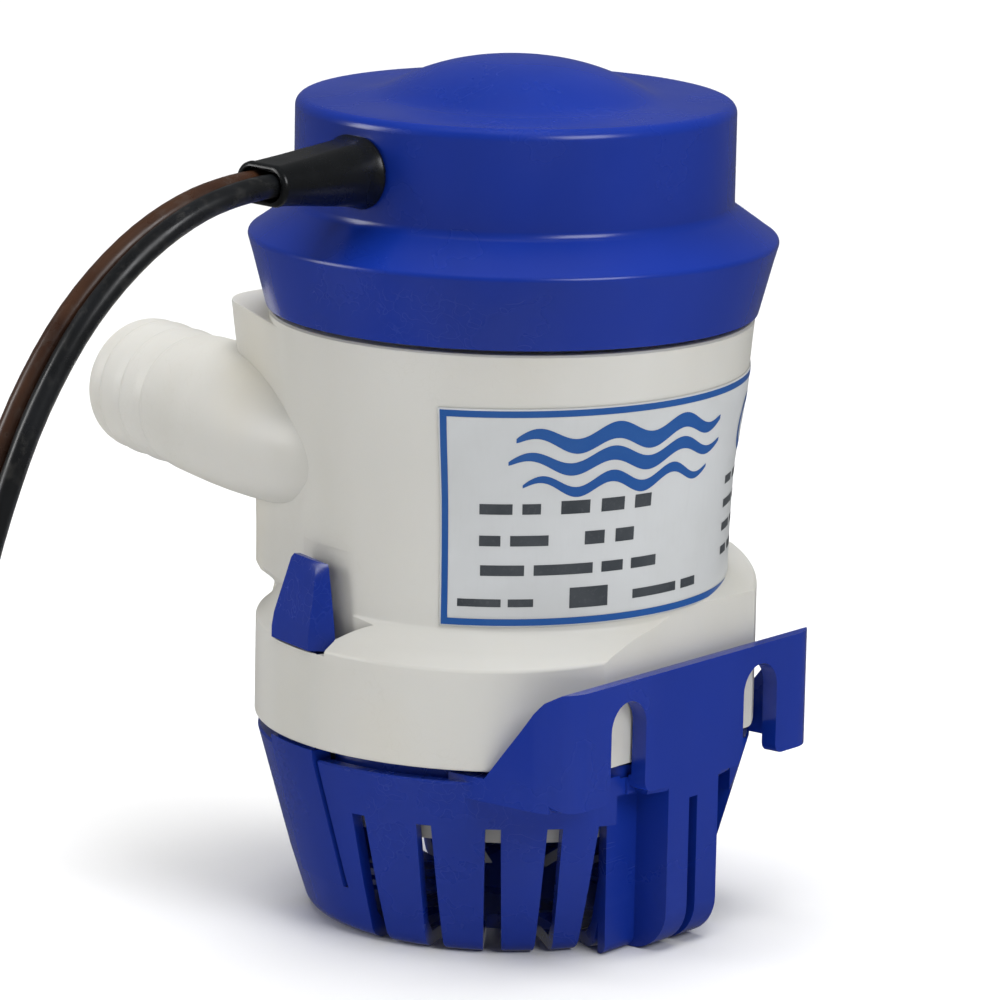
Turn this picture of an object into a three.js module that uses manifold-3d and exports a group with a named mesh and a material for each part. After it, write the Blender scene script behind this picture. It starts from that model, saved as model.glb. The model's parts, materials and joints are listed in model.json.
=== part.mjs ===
// A submersible 12 volt bilge pump on a clip-on strainer base, in millimetres.
// +Z is up along the motor shaft, z = 0 is the underside of the base, and +X is the
// outward direction of the flat bulkhead bracket. Angles are in degrees about +Z from +X.
import * as THREE from "three";
import { mergeVertices } from "three/addons/utils/BufferGeometryUtils.js";
import Module from "manifold-3d";

const wasm = await Module();
wasm.setup();

// ---------------------------------------------------------------- driving dimensions
const GAP = 0.3; // clearance between pieces that touch
const SEGMENTS = 64; // facets round the large turned pieces
const SMALL_SEGMENTS = 24; // facets round the small turned pieces

// Strainer base
const RIM_Z = 26.5;
const RIM_R = 35.2;
const TAPER = 0.28; // radius lost per millimetre below the rim
const BASE_WALL = 2;
const FOOT_R = 25.2; // flat underside
const FOOT_ROUND = 3;
const STRAINER_SLOT = 2.5;
const STRAINER_SLOT_TOP = 19.5;
const STRAINER_SLOT_INNER_R = 14;
const SIDE_SLOT_ANGLES = [26, 39, 54, 89]; // on each side of the bracket
const EXTRA_SLOT_ANGLE = -71; // where the other side has a latch
const BACK_SLOT_START = 105;
const BACK_SLOT_STEP = 16.5;
const BACK_SLOT_COUNT = 8;

// Bulkhead bracket
const PLATE_X = 34;
const PLATE_THICKNESS = 2.4;
const PLATE_HALF_WIDTH = 30;
const PLATE_TOP = 40.9;
const PLATE_BOTTOM = 24.2;
const PLATE_CORNER = 4;
const PANEL_ROUND = 3; // lower outer corners of the plate
const SCREW_SLOT_INNER_Y = 11.4;
const SCREW_SLOT_OUTER_Y = 19.3;
const SCREW_SLOT_TOP = 38.1;
const SPINE_HALF_WIDTH = 5.8;
const SPINE_TOE = 6; // rounding of its foot
const SPINE_HOLLOW = 7.2;
const SPINE_SLOT = 1.8;
const SPINE_SLOT_TOP = 21.5;
const PILLAR_X = 28.5;
const PILLAR_DEPTH = 2;
const PILLAR_TOE = 1.6;
const PILLAR_END_Y = 13.2;
const POCKET_TOP = 23.6;
const CEILING_TOP = 26;

// Latches, moulded in one with the base and hinged here at the foot of their arms
const LATCH_ANGLES = { latch_left: -109.5, latch_right: 70.5 };
const LATCH_ROOT_Z = 7;
const LATCH_HALF_WIDTH = 5.6;
const HOOK_Z = 42;
const HOOK_TOP_Z = 54.2;
const HOOK_OUT_X = 35.7;
const HOOK_TIP_X = 33.5;
const HOOK_SIDES = [-5, 7.2]; // the hook is offset on its neck, and narrows towards its tip
const HOOK_TIP_SIDES = [-3, 5.8];
const HOOK_IN_X = 32.2;
const HOOK_TIP_IN_X = 32.7;
const NECK_OUT_X = 34.4;
const NECK_WAY = [-5.6, 6.3]; // the sides of the hole for the neck, wide enough for the hook's tip
const POCKET_END_Y = 7.8; // the recess beside the hook
const POCKET_IN_X = 31;
const POCKET_OUT_X = 34.9;
const POCKET_TOP_Z = 56;

// Pump housing
const FLANGE_R = 35.6;
const FLANGE_BOTTOM = 28.2;
const FLANGE_TOP = 46.2;
const EDGE_Z = 42.7; // the crease round the outside of the flange's sloping top
const EDGE_ROUND = 0.5;
const EDGE_START = -65; // from here the crease climbs, and later the whole top does
const EDGE_PER_DEGREE = 0.075;
const EDGE_EASE = 45;
const FLANGE_FLAT_X = 31.2;
const BODY_OUTLINE = [
  [31.2, 46.2],
  [31.25, 54],
  [31.6, 63],
  [32.3, 69.5],
  [33.3, 76],
  [34.2, 85.2],
]; // radius and height of the slightly flared body, up to the top of the riser
const BODY_TOP = 86.4;
const NECK_R = 31.5;
const NECK_TOP = 97;
const MOTOR_BAY_R = 28.2;
const BULKHEAD_TOP = 48.5;
const CHAMBER_R = 27.5;
const CHAMBER_TOP = 45.5;
const RAMP_START = -12; // the volute roof climbs from here to the riser
const RAMP_END = 190;
const RAMP_PER_DEGREE = 0.072;
const RISER_ANGLE = -164; // the middle of the discharge riser
const RISER_HALF_SPAN = 46;
const RISER_ROUND = 9.4; // radius of its nose, seen from above
const RISER_FOOT = 28.8; // how far out its nose is centred at the flange
const RISER_FLARE = 1.45; // and how fast that grows beside the body's own flare
const PASSAGE_HALF_SPAN = 21;
const PASSAGE_IN_R = 25;
const PASSAGE_OUT_R = 33.3;
const PASSAGE_TOP = 78;
const NOZZLE_ANGLE = 160;
const NOZZLE_OFFSET = 25.6;
const NOZZLE_Z = 67.6;
const NOZZLE_END = 60.4;
const NOZZLE_FAIRING = [
  [5.4, 0],
  [7.9, 5.6],
  [9.5, 13.4],
  [10.3, 23],
  [10.4, 32],
  [10.1, 42],
]; // radius and distance out of the root that is faired into the body
const NOZZLE_BORE_R = 7.6;
const BARB_R = 9.9;
const BARB_ROOT_R = 9.25;
const GROOVES = [45.2, 51.4, 57.6];
const BOSS_ANGLES = [-80, 100]; // motor screw bosses
const BOSS_RADIUS = 24.7;

// Motor cap
const RING_BOTTOM = 87.1;
const RING_R = 37.4;
const RING_BOTTOM_R = 34.7;
const RING_WIDEST_Z = 97.2;
const CAP_R = 31;
const CAP_FOOT_Z = 102;
const CAP_TOP = 116.9;
const CAP_ROUND = 1.6;
const CROWN = 0.3;
const DOME_R = 19.7;
const DOME_RISE = 5.3;
const DOME_POWER = 2.3;
const DOME_FOOT = 0.9; // softness of the dome's foot
const CAP_INNER_R = 28.8;
const CAP_SOCKET_R = 32.1;

const CAP_CEILING = 114.5; // underside of the cap's top

// Label
const LABEL_START = -69;
const LABEL_END = 55;
const LABEL_BOTTOM = 47.6;
const LABEL_TOP = 79.9;
const LABEL_THICKNESS = 0.2;
const LABEL_GAP = 0.05;

// Motor and rotor
const SHAFT_R = 1.6;
const CAN_R = 20.5;
const CAN_BOTTOM = 53.6;
const CAN_TOP = 96;
const CORE_R = 14.8;
const CORE_BOTTOM = 64;
const CORE_TOP = 86;
const IMPELLER_R = 22;

// Strain relief and the two free leads
const RELIEF_ANGLE = -97;
const RELIEF_Z = 109.3;
const RELIEF_END = 48.7;
const LEAD_R = 1.65;
const LEAD_SPACING = 1.9; // half the distance between the two leads
const LEAD_START = 43.2;
const COIL_CENTRE = [-40.5, -111];
const COIL_MEAN_R = 18.5;
const COIL_WIDTH = 10.6;
const COIL_HEIGHT = 7;
const FLOOR_GAP = 0.1;

// ---------------------------------------------------------------- solids
const radians = THREE.MathUtils.degToRad;
const polar = (r, degrees) => [r * Math.cos(radians(degrees)), r * Math.sin(radians(degrees))];
const wallRadius = (z) => RIM_R - TAPER * (RIM_Z - z);

// A closed three.js geometry as a manifold solid, with its faces turned out.
function solidOf(geometry) {
  const bare = new THREE.BufferGeometry();
  bare.setAttribute("position", geometry.getAttribute("position"));
  bare.setIndex(geometry.index);
  const merged = mergeVertices(bare, 1e-4);
  const place = merged.getAttribute("position");
  const corner = (k) => new THREE.Vector3().fromBufferAttribute(place, k);
  const triangles = [];
  let volume = 0;
  for (let i = 0; i < merged.index.count; i += 3) {
    const [a, b, c] = [0, 1, 2].map((k) => merged.index.getX(i + k));
    if (a === b || b === c || a === c) continue;
    triangles.push([a, b, c]);
    volume += corner(a).dot(corner(b).cross(corner(c)));
  }
  const facing = volume > 0 ? triangles : triangles.map(([a, b, c]) => [a, c, b]);
  const mesh = new wasm.Mesh({
    numProp: 3,
    vertProperties: new Float32Array(place.array),
    triVerts: new Uint32Array(facing.flat()),
  });
  return new wasm.Manifold(mesh);
}

function geometryOf(solid) {
  const mesh = solid.getMesh();
  const geometry = new THREE.BufferGeometry();
  geometry.setAttribute("position", new THREE.BufferAttribute(mesh.vertProperties, 3));
  geometry.setIndex(new THREE.BufferAttribute(mesh.triVerts, 1));
  return geometry.toNonIndexed();
}

const join = (first, ...others) => others.reduce((sum, other) => sum.add(other), first);
const cut = (first, ...tools) => tools.reduce((left, tool) => left.subtract(tool), first);

// A solid of revolution about Z from [radius, height] points.
function turned(points, segments = SEGMENTS) {
  const profile = points.map(([r, z]) => new THREE.Vector2(r, z));
  return solidOf(new THREE.LatheGeometry(profile, segments).rotateX(Math.PI / 2));
}

// A ring between two radii and two heights.
function ring(inner, outer, bottom, top, segments = SMALL_SEGMENTS) {
  const section = [[inner, bottom], [outer, bottom], [outer, top], [inner, top], [inner, bottom]];
  return turned(section, segments);
}

function rod(radius, bottom, top, segments = SMALL_SEGMENTS) {
  return turned([[0, bottom], [radius, bottom], [radius, top], [0, top]], segments);
}

function box(x0, x1, y0, y1, z0, z1) {
  const geometry = new THREE.BoxGeometry(x1 - x0, y1 - y0, z1 - z0);
  return solidOf(geometry.translate((x0 + x1) / 2, (y0 + y1) / 2, (z0 + z1) / 2));
}

// A prism from [x, y] points, standing from one height to another.
function prism(points, bottom, top) {
  const shape = new THREE.Shape(points.map(([x, y]) => new THREE.Vector2(x, y)));
  const geometry = new THREE.ExtrudeGeometry(shape, { depth: top - bottom, bevelEnabled: false });
  return solidOf(geometry.translate(0, 0, bottom));
}

// A prism from [x, z] points, running along Y.
function slab(points, y0, y1) {
  const shape = new THREE.Shape(points.map(([x, z]) => new THREE.Vector2(x, z)));
  const geometry = new THREE.ExtrudeGeometry(shape, { depth: y1 - y0, bevelEnabled: false });
  return solidOf(geometry.rotateX(Math.PI / 2).translate(0, y1, 0));
}

// A prism from [y, z] points, running along X.
function bar(points, x0, x1) {
  const shape = new THREE.Shape(points.map(([y, z]) => new THREE.Vector2(y, z)));
  const geometry = new THREE.ExtrudeGeometry(shape, { depth: x1 - x0, bevelEnabled: false });
  return solidOf(geometry.rotateY(Math.PI / 2).rotateX(Math.PI / 2).translate(x0, 0, 0));
}

// Points on an arc, for outlines.
function arc(cx, cy, radius, from, to, steps) {
  return Array.from({ length: steps + 1 }, (_, i) => {
    const [x, y] = polar(radius, from + ((to - from) * i) / steps);
    return [cx + x, cy + y];
  });
}

// A closed skin over rings of points, each ring having as many points as the others.
function loft(rings) {
  const count = rings[0].length;
  const triangles = [];
  for (let i = 0; i + 1 < rings.length; i++)
    for (let k = 0; k < count; k++) {
      const next = (k + 1) % count;
      const [a, b] = [i * count + k, i * count + next];
      triangles.push(a, b, b + count, a, b + count, a + count);
    }
  const last = (rings.length - 1) * count;
  const ends = [rings[0], rings[rings.length - 1]].map(capOf);
  for (const [a, b, c] of ends[0]) triangles.push(a, c, b);
  for (const [a, b, c] of ends[1]) triangles.push(last + a, last + b, last + c);
  const geometry = new THREE.BufferGeometry();
  geometry.setAttribute("position", new THREE.Float32BufferAttribute(rings.flat(2), 3));
  geometry.setIndex(triangles);
  return solidOf(geometry);
}

// The triangles of a flat closed ring of points in space.
function capOf(points) {
  const corners = points.map(([x, y, z]) => new THREE.Vector3(x, y, z));
  const centre = corners.reduce((sum, p) => sum.add(p), new THREE.Vector3());
  centre.divideScalar(corners.length);
  const normal = new THREE.Vector3();
  corners.forEach((p, k) => {
    const q = corners[(k + 1) % corners.length];
    normal.add(p.clone().sub(centre).cross(q.clone().sub(centre)));
  });
  normal.normalize();
  const along = corners[1].clone().sub(corners[0]).normalize();
  const across = normal.clone().cross(along);
  const outline = corners.map((p) => new THREE.Vector2(p.dot(along), p.dot(across)));
  return THREE.ShapeUtils.triangulateShape(outline, []);
}

const spun = (solid, degrees) => solid.rotate([0, 0, degrees]);

// ---------------------------------------------------------------- finishes
const FINISHES = {
  blue: { color: 0x2a2f9a, roughness: 0.38, metalness: 0 },
  white: { color: 0xd9d8cf, roughness: 0.45, metalness: 0 },
  label: { color: 0xe4e6e6, roughness: 0.35, metalness: 0 },
  rubber: { color: 0x101112, roughness: 0.3, metalness: 0 },
  brown: { color: 0x4a2c1a, roughness: 0.4, metalness: 0 },
  steel: { color: 0xa9adb0, roughness: 0.35, metalness: 1 },
  core: { color: 0x6d7074, roughness: 0.5, metalness: 1 },
  ferrite: { color: 0x2b2b2d, roughness: 0.6, metalness: 0.2 },
  copper: { color: 0xb8642e, roughness: 0.35, metalness: 1 },
  brass: { color: 0xc09a4a, roughness: 0.35, metalness: 1 },
  carbon: { color: 0x1d1c1c, roughness: 0.8, metalness: 0 },
  nylon: { color: 0xdad2ba, roughness: 0.5, metalness: 0 },
  disc: { color: 0xb5722c, roughness: 0.5, metalness: 0 },
};

const pump = new THREE.Group();

function place(name, solid, finish) {
  const mesh = new THREE.Mesh(geometryOf(solid), new THREE.MeshStandardMaterial(FINISHES[finish]));
  mesh.name = name;
  pump.add(mesh);
}

// ---------------------------------------------------------------- strainer base
function strainerCup() {
  const corner = arc(FOOT_R, FOOT_ROUND, FOOT_ROUND, -90, -15, 4);
  return turned([
    [0, 0],
    ...corner,
    [RIM_R, RIM_Z],
    [RIM_R - BASE_WALL, RIM_Z],
    [wallRadius(BASE_WALL) - BASE_WALL, BASE_WALL],
    [0, BASE_WALL],
  ]);
}

// One radial slot, cut through the wall and on under the floor, a little wider low down.
function strainerSlot(degrees) {
  const half = STRAINER_SLOT / 2;
  const outline = [[-half, -1], [half, -1], [half - 0.1, STRAINER_SLOT_TOP], [0.1 - half, STRAINER_SLOT_TOP]];
  return spun(bar(outline, STRAINER_SLOT_INNER_R, RIM_R + 5), degrees);
}

function strainerSlots() {
  const sides = SIDE_SLOT_ANGLES.flatMap((a) => [a, -a]);
  const back = Array.from({ length: BACK_SLOT_COUNT }, (_, i) => BACK_SLOT_START + i * BACK_SLOT_STEP);
  return [...sides, EXTRA_SLOT_ANGLE, ...back].map(strainerSlot);
}

// The bracket in plan is a flat plate whose ends turn back to meet the strainer wall.
function bracketWall() {
  const band = (inset) => {
    const x = PLATE_X - inset;
    const y = PLATE_HALF_WIDTH - inset;
    const r = PLATE_CORNER - Math.min(inset, PLATE_CORNER - 0.5);
    return [
      [14, -y],
      ...arc(x - r, r - y, r, -90, 0, 4),
      ...arc(x - r, y - r, r, 0, 90, 4),
      [14, y],
    ];
  };
  const outline = [...band(0), ...band(PLATE_THICKNESS).reverse()];
  const wall = prism(outline, PLATE_BOTTOM, PLATE_TOP);
  const slope = slab([[10, 27.4], [19.8, 27.4], [31.5, 41.2], [31.5, 42], [10, 42]], -40, 40);
  return cut(wall, slope);
}

// A screw slot, open at the bottom and round at the top.
function screwSlot(side) {
  const radius = (SCREW_SLOT_OUTER_Y - SCREW_SLOT_INNER_Y) / 2;
  const middle = (SCREW_SLOT_OUTER_Y + SCREW_SLOT_INNER_Y) / 2;
  const outline = [
    [middle - radius, POCKET_TOP - 2],
    [middle + radius, POCKET_TOP - 2],
    ...arc(middle, SCREW_SLOT_TOP - radius, radius, 0, 180, 8),
  ];
  return bar(outline.map(([y, z]) => [side * y, z]), PLATE_X - PLATE_THICKNESS - 1, PLATE_X + 1);
}

// The hollow spine below the middle of the plate, flush with its face.
function spine() {
  const toe = arc(PLATE_X - SPINE_TOE, SPINE_TOE, SPINE_TOE, -90, 0, 4);
  const top = PLATE_BOTTOM + 1;
  return slab([[22, 0], ...toe, [PLATE_X, top], [22, top]], -SPINE_HALF_WIDTH, SPINE_HALF_WIDTH);
}

// The upright pillar at the back of the pocket under each screw slot.
function pillar(side) {
  const back = PILLAR_X - PILLAR_DEPTH;
  const toe = arc(PILLAR_X - PILLAR_TOE, PILLAR_TOE, PILLAR_TOE, -90, 0, 3);
  const outside = [[back, 0], ...toe, [PILLAR_X, CEILING_TOP], [back, CEILING_TOP]];
  const [low, high] = [SPINE_HALF_WIDTH - 0.4, PILLAR_END_Y];
  return side > 0 ? slab(outside, low, high) : slab(outside, -high, -low);
}

// The pocket under a screw slot, which runs out into the first slot of the strainer.
function pocket(side) {
  const span = (inner, outer, top) => {
    const [low, high] = [side * inner, side * outer].sort((a, b) => a - b);
    return box(PILLAR_X - PILLAR_DEPTH, RIM_R + 5, low, high, -1, top);
  };
  const besideSlot = span(PILLAR_END_Y - 0.5, PILLAR_END_Y + 1.2, STRAINER_SLOT_TOP);
  return join(span(SPINE_HALF_WIDTH, PILLAR_END_Y, POCKET_TOP), besideSlot);
}

// The shelf over both pockets, inside the line of the wall.
function pocketCeiling() {
  const shelf = box(PILLAR_X - PILLAR_DEPTH, RIM_R, -PILLAR_END_Y, PILLAR_END_Y, POCKET_TOP, CEILING_TOP);
  return shelf.intersect(rod(RIM_R - 1, POCKET_TOP - 1, CEILING_TOP + 1, SEGMENTS));
}

// The window in the strainer wall that the arm of a latch fills.
function latchWindow(degrees) {
  const half = LATCH_HALF_WIDTH + 0.5;
  return spun(box(20, RIM_R + 3, -half, half, LATCH_ROOT_Z, RIM_Z + 2), degrees);
}

// What rounds off the lower outer corner of the plate on one side.
function plateCorner(side) {
  const [y, z] = [PLATE_HALF_WIDTH - PANEL_ROUND, PLATE_BOTTOM + PANEL_ROUND];
  const beyond = PLATE_HALF_WIDTH + 2;
  const under = PLATE_BOTTOM - 2;
  const outline = [[beyond, z], ...arc(y, z, PANEL_ROUND, 0, -90, 5), [y, under], [beyond, under]];
  return bar(outline.map(([across, up]) => [side * across, up]), PLATE_X - 3, PLATE_X + 1);
}

function strainerBase() {
  const walls = join(strainerCup(), bracketWall(), pocketCeiling());
  const recessed = cut(walls, pocket(1), pocket(-1));
  const whole = join(recessed, spine(), pillar(1), pillar(-1));
  const [hollow, slit] = [SPINE_HOLLOW / 2, SPINE_SLOT / 2];
  const behindSpine = box(20, PLATE_X - PLATE_THICKNESS, -hollow, hollow, BASE_WALL, POCKET_TOP - 1.5);
  const spineSlot = box(24, PLATE_X + 1, -slit, slit, -1, SPINE_SLOT_TOP);
  const rimWay = ring(CHAMBER_R, FLANGE_R + 0.4, FLANGE_BOTTOM - GAP, PLATE_TOP + 2, SEGMENTS);
  const flatWay = box(24, PLATE_X - PLATE_THICKNESS, -26, 26, 27.5, PLATE_TOP + 2);
  const clearRim = rimWay.intersect(box(-40, PLATE_X - PLATE_THICKNESS, -40, 40, 0, 60));
  const beyondPlate = box(PLATE_X, RIM_R + 1, -PILLAR_END_Y, PILLAR_END_Y, -1, RIM_Z + 1);
  return cut(
    whole,
    behindSpine,
    spineSlot,
    clearRim,
    flatWay,
    beyondPlate,
    plateCorner(1),
    plateCorner(-1),
    screwSlot(1),
    screwSlot(-1),
    ...strainerSlots(),
    ...Object.values(LATCH_ANGLES).map(latchWindow),
  );
}

// ---------------------------------------------------------------- latches
// A springy arm set in the strainer wall, a neck through the flange, and a wedge hook.
function latch(degrees) {
  const half = LATCH_HALF_WIDTH;
  const armTop = FLANGE_BOTTOM - GAP - 0.1;
  const armBottom = LATCH_ROOT_Z + 0.5;
  const proud = 0.35;
  const shell = turned([
    [wallRadius(armBottom) - BASE_WALL, armBottom],
    [wallRadius(armBottom) + proud, armBottom],
    [wallRadius(armTop) + proud - 0.3, armTop],
    [wallRadius(armTop) - BASE_WALL - 1, armTop],
    [wallRadius(armBottom) - BASE_WALL, armBottom],
  ]);
  const arm = shell.intersect(box(20, 40, -half, half, 0, 30));
  const neck = box(NECK_OUT_X - 2, NECK_OUT_X, -half + 0.6, half - 0.6, 26, HOOK_Z + 1);
  const side = slab(
    [[HOOK_IN_X, HOOK_Z], [HOOK_OUT_X, HOOK_Z], [HOOK_TIP_X, HOOK_TOP_Z], [HOOK_TIP_IN_X, HOOK_TOP_Z]],
    -10,
    10,
  );
  const [left, right] = HOOK_SIDES;
  const [tipLeft, tipRight] = HOOK_TIP_SIDES;
  const shoulder = HOOK_Z + 4;
  const above = HOOK_TOP_Z + 1;
  const front = [
    [left, HOOK_Z - 1],
    [right, HOOK_Z - 1],
    [right, shoulder],
    [tipRight, above],
    [tipLeft, above],
    [left, shoulder],
  ];
  return spun(join(arm, neck, side.intersect(bar(front, 30, 40))), degrees);
}

// ---------------------------------------------------------------- pump housing
function housingShell() {
  return turned([
    [CHAMBER_R, FLANGE_BOTTOM],
    [FLANGE_R, FLANGE_BOTTOM],
    [FLANGE_R, EDGE_Z - EDGE_ROUND],
    [FLANGE_R - EDGE_ROUND, EDGE_Z],
    ...BODY_OUTLINE,
    [34.3, BODY_TOP],
    [NECK_R, BODY_TOP],
    [NECK_R, 90.8],
    [30.2, 90.8],
    [30.2, 93.2],
    [NECK_R, 93.2],
    [NECK_R, NECK_TOP],
    [MOTOR_BAY_R, NECK_TOP],
    [MOTOR_BAY_R, BULKHEAD_TOP],
    [9, BULKHEAD_TOP],
    [9, 52.9],
    [6.3, 52.9],
    [6.3, 47.5],
    [2.8, 47.5],
    [2.8, CHAMBER_TOP],
    [CHAMBER_R, CHAMBER_TOP],
    [CHAMBER_R, FLANGE_BOTTOM],
  ]);
}

// Height of the flange's outer crease at one bearing, easing into its climb.
function edgeHeight(degrees) {
  const turn = degrees - EDGE_START;
  const ease = Math.min(turn, EDGE_EASE);
  return EDGE_Z + EDGE_PER_DEGREE * (ease ** 2 / (2 * EDGE_EASE) + turn - ease);
}

// The volute roof that climbs round the flange; grow enlarges it for cuts.
function voluteRamp(grow = 0) {
  const steps = 34;
  const rings = Array.from({ length: steps + 1 }, (_, i) => {
    const degrees = EDGE_START + ((RAMP_END - EDGE_START) * i) / steps;
    const top = FLANGE_TOP + grow + Math.max(0, degrees - RAMP_START) * RAMP_PER_DEGREE;
    const edge = edgeHeight(degrees) + grow;
    const section = [
      [30, 41],
      [FLANGE_R + grow, 41],
      [FLANGE_R + grow, edge - EDGE_ROUND],
      [FLANGE_R + grow - EDGE_ROUND, edge],
      [BODY_OUTLINE[0][0], top],
      [30, top],
    ];
    return section.map(([r, z]) => [...polar(r, degrees), z]);
  });
  return loft(rings);
}

// Radius of the riser's wall at one bearing: the body's circle, tangents, and a round nose.
function riserRadius(bodyR, degrees) {
  const turn = Math.abs(radians(degrees - RISER_ANGLE));
  const centre = RISER_FOOT + RISER_FLARE * (bodyR - BODY_OUTLINE[0][0]);
  const meet = Math.acos((bodyR - RISER_ROUND) / centre);
  const nose = Math.atan2(RISER_ROUND * Math.sin(meet), centre + RISER_ROUND * Math.cos(meet));
  if (turn >= meet) return bodyR;
  if (turn > nose) return bodyR / Math.cos(meet - turn);
  return centre * Math.cos(turn) + Math.sqrt(RISER_ROUND ** 2 - (centre * Math.sin(turn)) ** 2);
}

// The discharge riser: a nose on the body's wall, with a flat top.
function riser() {
  const level = ([bodyR, z]) => {
    const steps = 14;
    const start = RISER_ANGLE - RISER_HALF_SPAN;
    const bearings = Array.from({ length: steps + 1 }, (_, i) => start + (2 * RISER_HALF_SPAN * i) / steps);
    const outline = bearings.map((degrees) => polar(riserRadius(bodyR - 0.2, degrees), degrees));
    const inner = arc(0, 0, bodyR - 2.5, RISER_ANGLE + RISER_HALF_SPAN, start, 6);
    return [...outline, ...inner].map(([x, y]) => [x, y, z]);
  };
  const foot = [BODY_OUTLINE[0][0], FLANGE_TOP - 4];
  return loft([foot, ...BODY_OUTLINE.slice(1)].map(level));
}

// A piece that is turned about the nozzle's axis, from [radius, distance] points.
function onNozzle(points, segments = 40) {
  const [x, y] = polar(NOZZLE_OFFSET, NOZZLE_ANGLE + 90);
  return turned(points, segments).rotate([0, 90, NOZZLE_ANGLE]).translate([x, y, NOZZLE_Z]);
}

function nozzle() {
  const barbs = GROOVES.flatMap((at) => [
    [BARB_R, at - 0.9],
    [BARB_ROOT_R, at],
    [BARB_R - 0.25, at + 0.9],
  ]);
  return onNozzle([
    [0, 0],
    ...NOZZLE_FAIRING,
    ...barbs,
    [BARB_R - 0.6, NOZZLE_END - 0.5],
    [BARB_R - 1.2, NOZZLE_END],
    [0, NOZZLE_END],
  ]);
}

// The water's way from the volute up the riser to the nozzle.
function passage() {
  const [from, to] = [RISER_ANGLE + PASSAGE_HALF_SPAN, RISER_ANGLE - PASSAGE_HALF_SPAN];
  const outline = [...arc(0, 0, PASSAGE_OUT_R, from, to, 6), ...arc(0, 0, PASSAGE_IN_R, to, from, 6)];
  return prism(outline, 34, PASSAGE_TOP);
}

// The wall that keeps the passage apart from the motor bay.
function passageWall() {
  const span = PASSAGE_HALF_SPAN + 5;
  const [from, to] = [RISER_ANGLE + span, RISER_ANGLE - span];
  const outline = [...arc(0, 0, MOTOR_BAY_R + 1, from, to, 6), ...arc(0, 0, PASSAGE_IN_R - 2, to, from, 6)];
  return prism(outline, CHAMBER_TOP + 1, PASSAGE_TOP + 2);
}

function screwBoss(degrees) {
  const column = join(rod(3.2, BULKHEAD_TOP - 1, 95.8, 16), box(0, 4.2, -2, 2, BULKHEAD_TOP - 1, 95.8));
  const bored = cut(column, rod(1.55, 84, 97, 12));
  return bored.translate([BOSS_RADIUS, 0, 0]).rotate([0, 0, degrees]);
}

// The hole through the flange that a latch's neck stands in, and the recess cut for its hook.
// One side of the recess tapers off along the body, where a finger nail reaches the hook.
function latchPocket(degrees) {
  const [near, far] = NECK_WAY;
  const way = [[POCKET_IN_X, near], [POCKET_OUT_X, near], [POCKET_OUT_X, far], [POCKET_IN_X, far]];
  const recess = [
    [POCKET_IN_X, near],
    [40, near],
    [40, POCKET_END_Y],
    [33, POCKET_END_Y],
    [29.4, POCKET_END_Y + 4.4],
    [30.2, POCKET_END_Y + 0.6],
    [POCKET_IN_X, 4],
  ];
  const hole = prism(way, FLANGE_BOTTOM - 1, POCKET_TOP_Z);
  return spun(join(hole, prism(recess, HOOK_Z - GAP, POCKET_TOP_Z)), degrees);
}

function pumpHousing() {
  const bosses = BOSS_ANGLES.map(screwBoss);
  const outside = join(housingShell(), voluteRamp(), riser(), nozzle(), passageWall(), ...bosses);
  const bay = ring(10, MOTOR_BAY_R, BULKHEAD_TOP, NECK_TOP, SEGMENTS);
  const freeBay = cut(bay, passageWall(), ...bosses);
  const bracketWay = box(FLANGE_FLAT_X, 45, -40, 40, 20, PLATE_TOP + 8);
  const nozzleBore = onNozzle([[0, 17], [NOZZLE_BORE_R, 17], [NOZZLE_BORE_R, 70], [0, 70]], 32);
  const pockets = Object.values(LATCH_ANGLES).map(latchPocket);
  return cut(outside, freeBay, passage(), nozzleBore, bracketWay, ...pockets);
}

// The plate that closes the volute from below, with the eye of the pump and a suction skirt.
function inletPlate() {
  const plate = turned([
    [10, 28.4],
    [27.8, 26.9],
    [28.1, 16.6],
    [29.4, 16.6],
    [30.1, 27.6],
    [27.2, 27.9],
    [27.2, 30.6],
    [10, 30.6],
    [10, 28.4],
  ], 48);
  return cut(plate, box(PILLAR_X - PILLAR_DEPTH - GAP, 40, -30, 30, 10, CEILING_TOP + GAP));
}

function label() {
  const inner = (extra) => BODY_OUTLINE.map(([r, z]) => [r + LABEL_GAP + extra, z]);
  const sleeve = [...inner(LABEL_THICKNESS), ...inner(0).reverse()];
  const closed = turned([...sleeve, sleeve[0]]);
  const fan = [[0, 0], ...arc(0, 0, 60, LABEL_START, LABEL_END, 6)];
  const sheet = closed.intersect(prism(fan, LABEL_BOTTOM, LABEL_TOP));
  return cut(sheet, voluteRamp(1.2));
}

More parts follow.
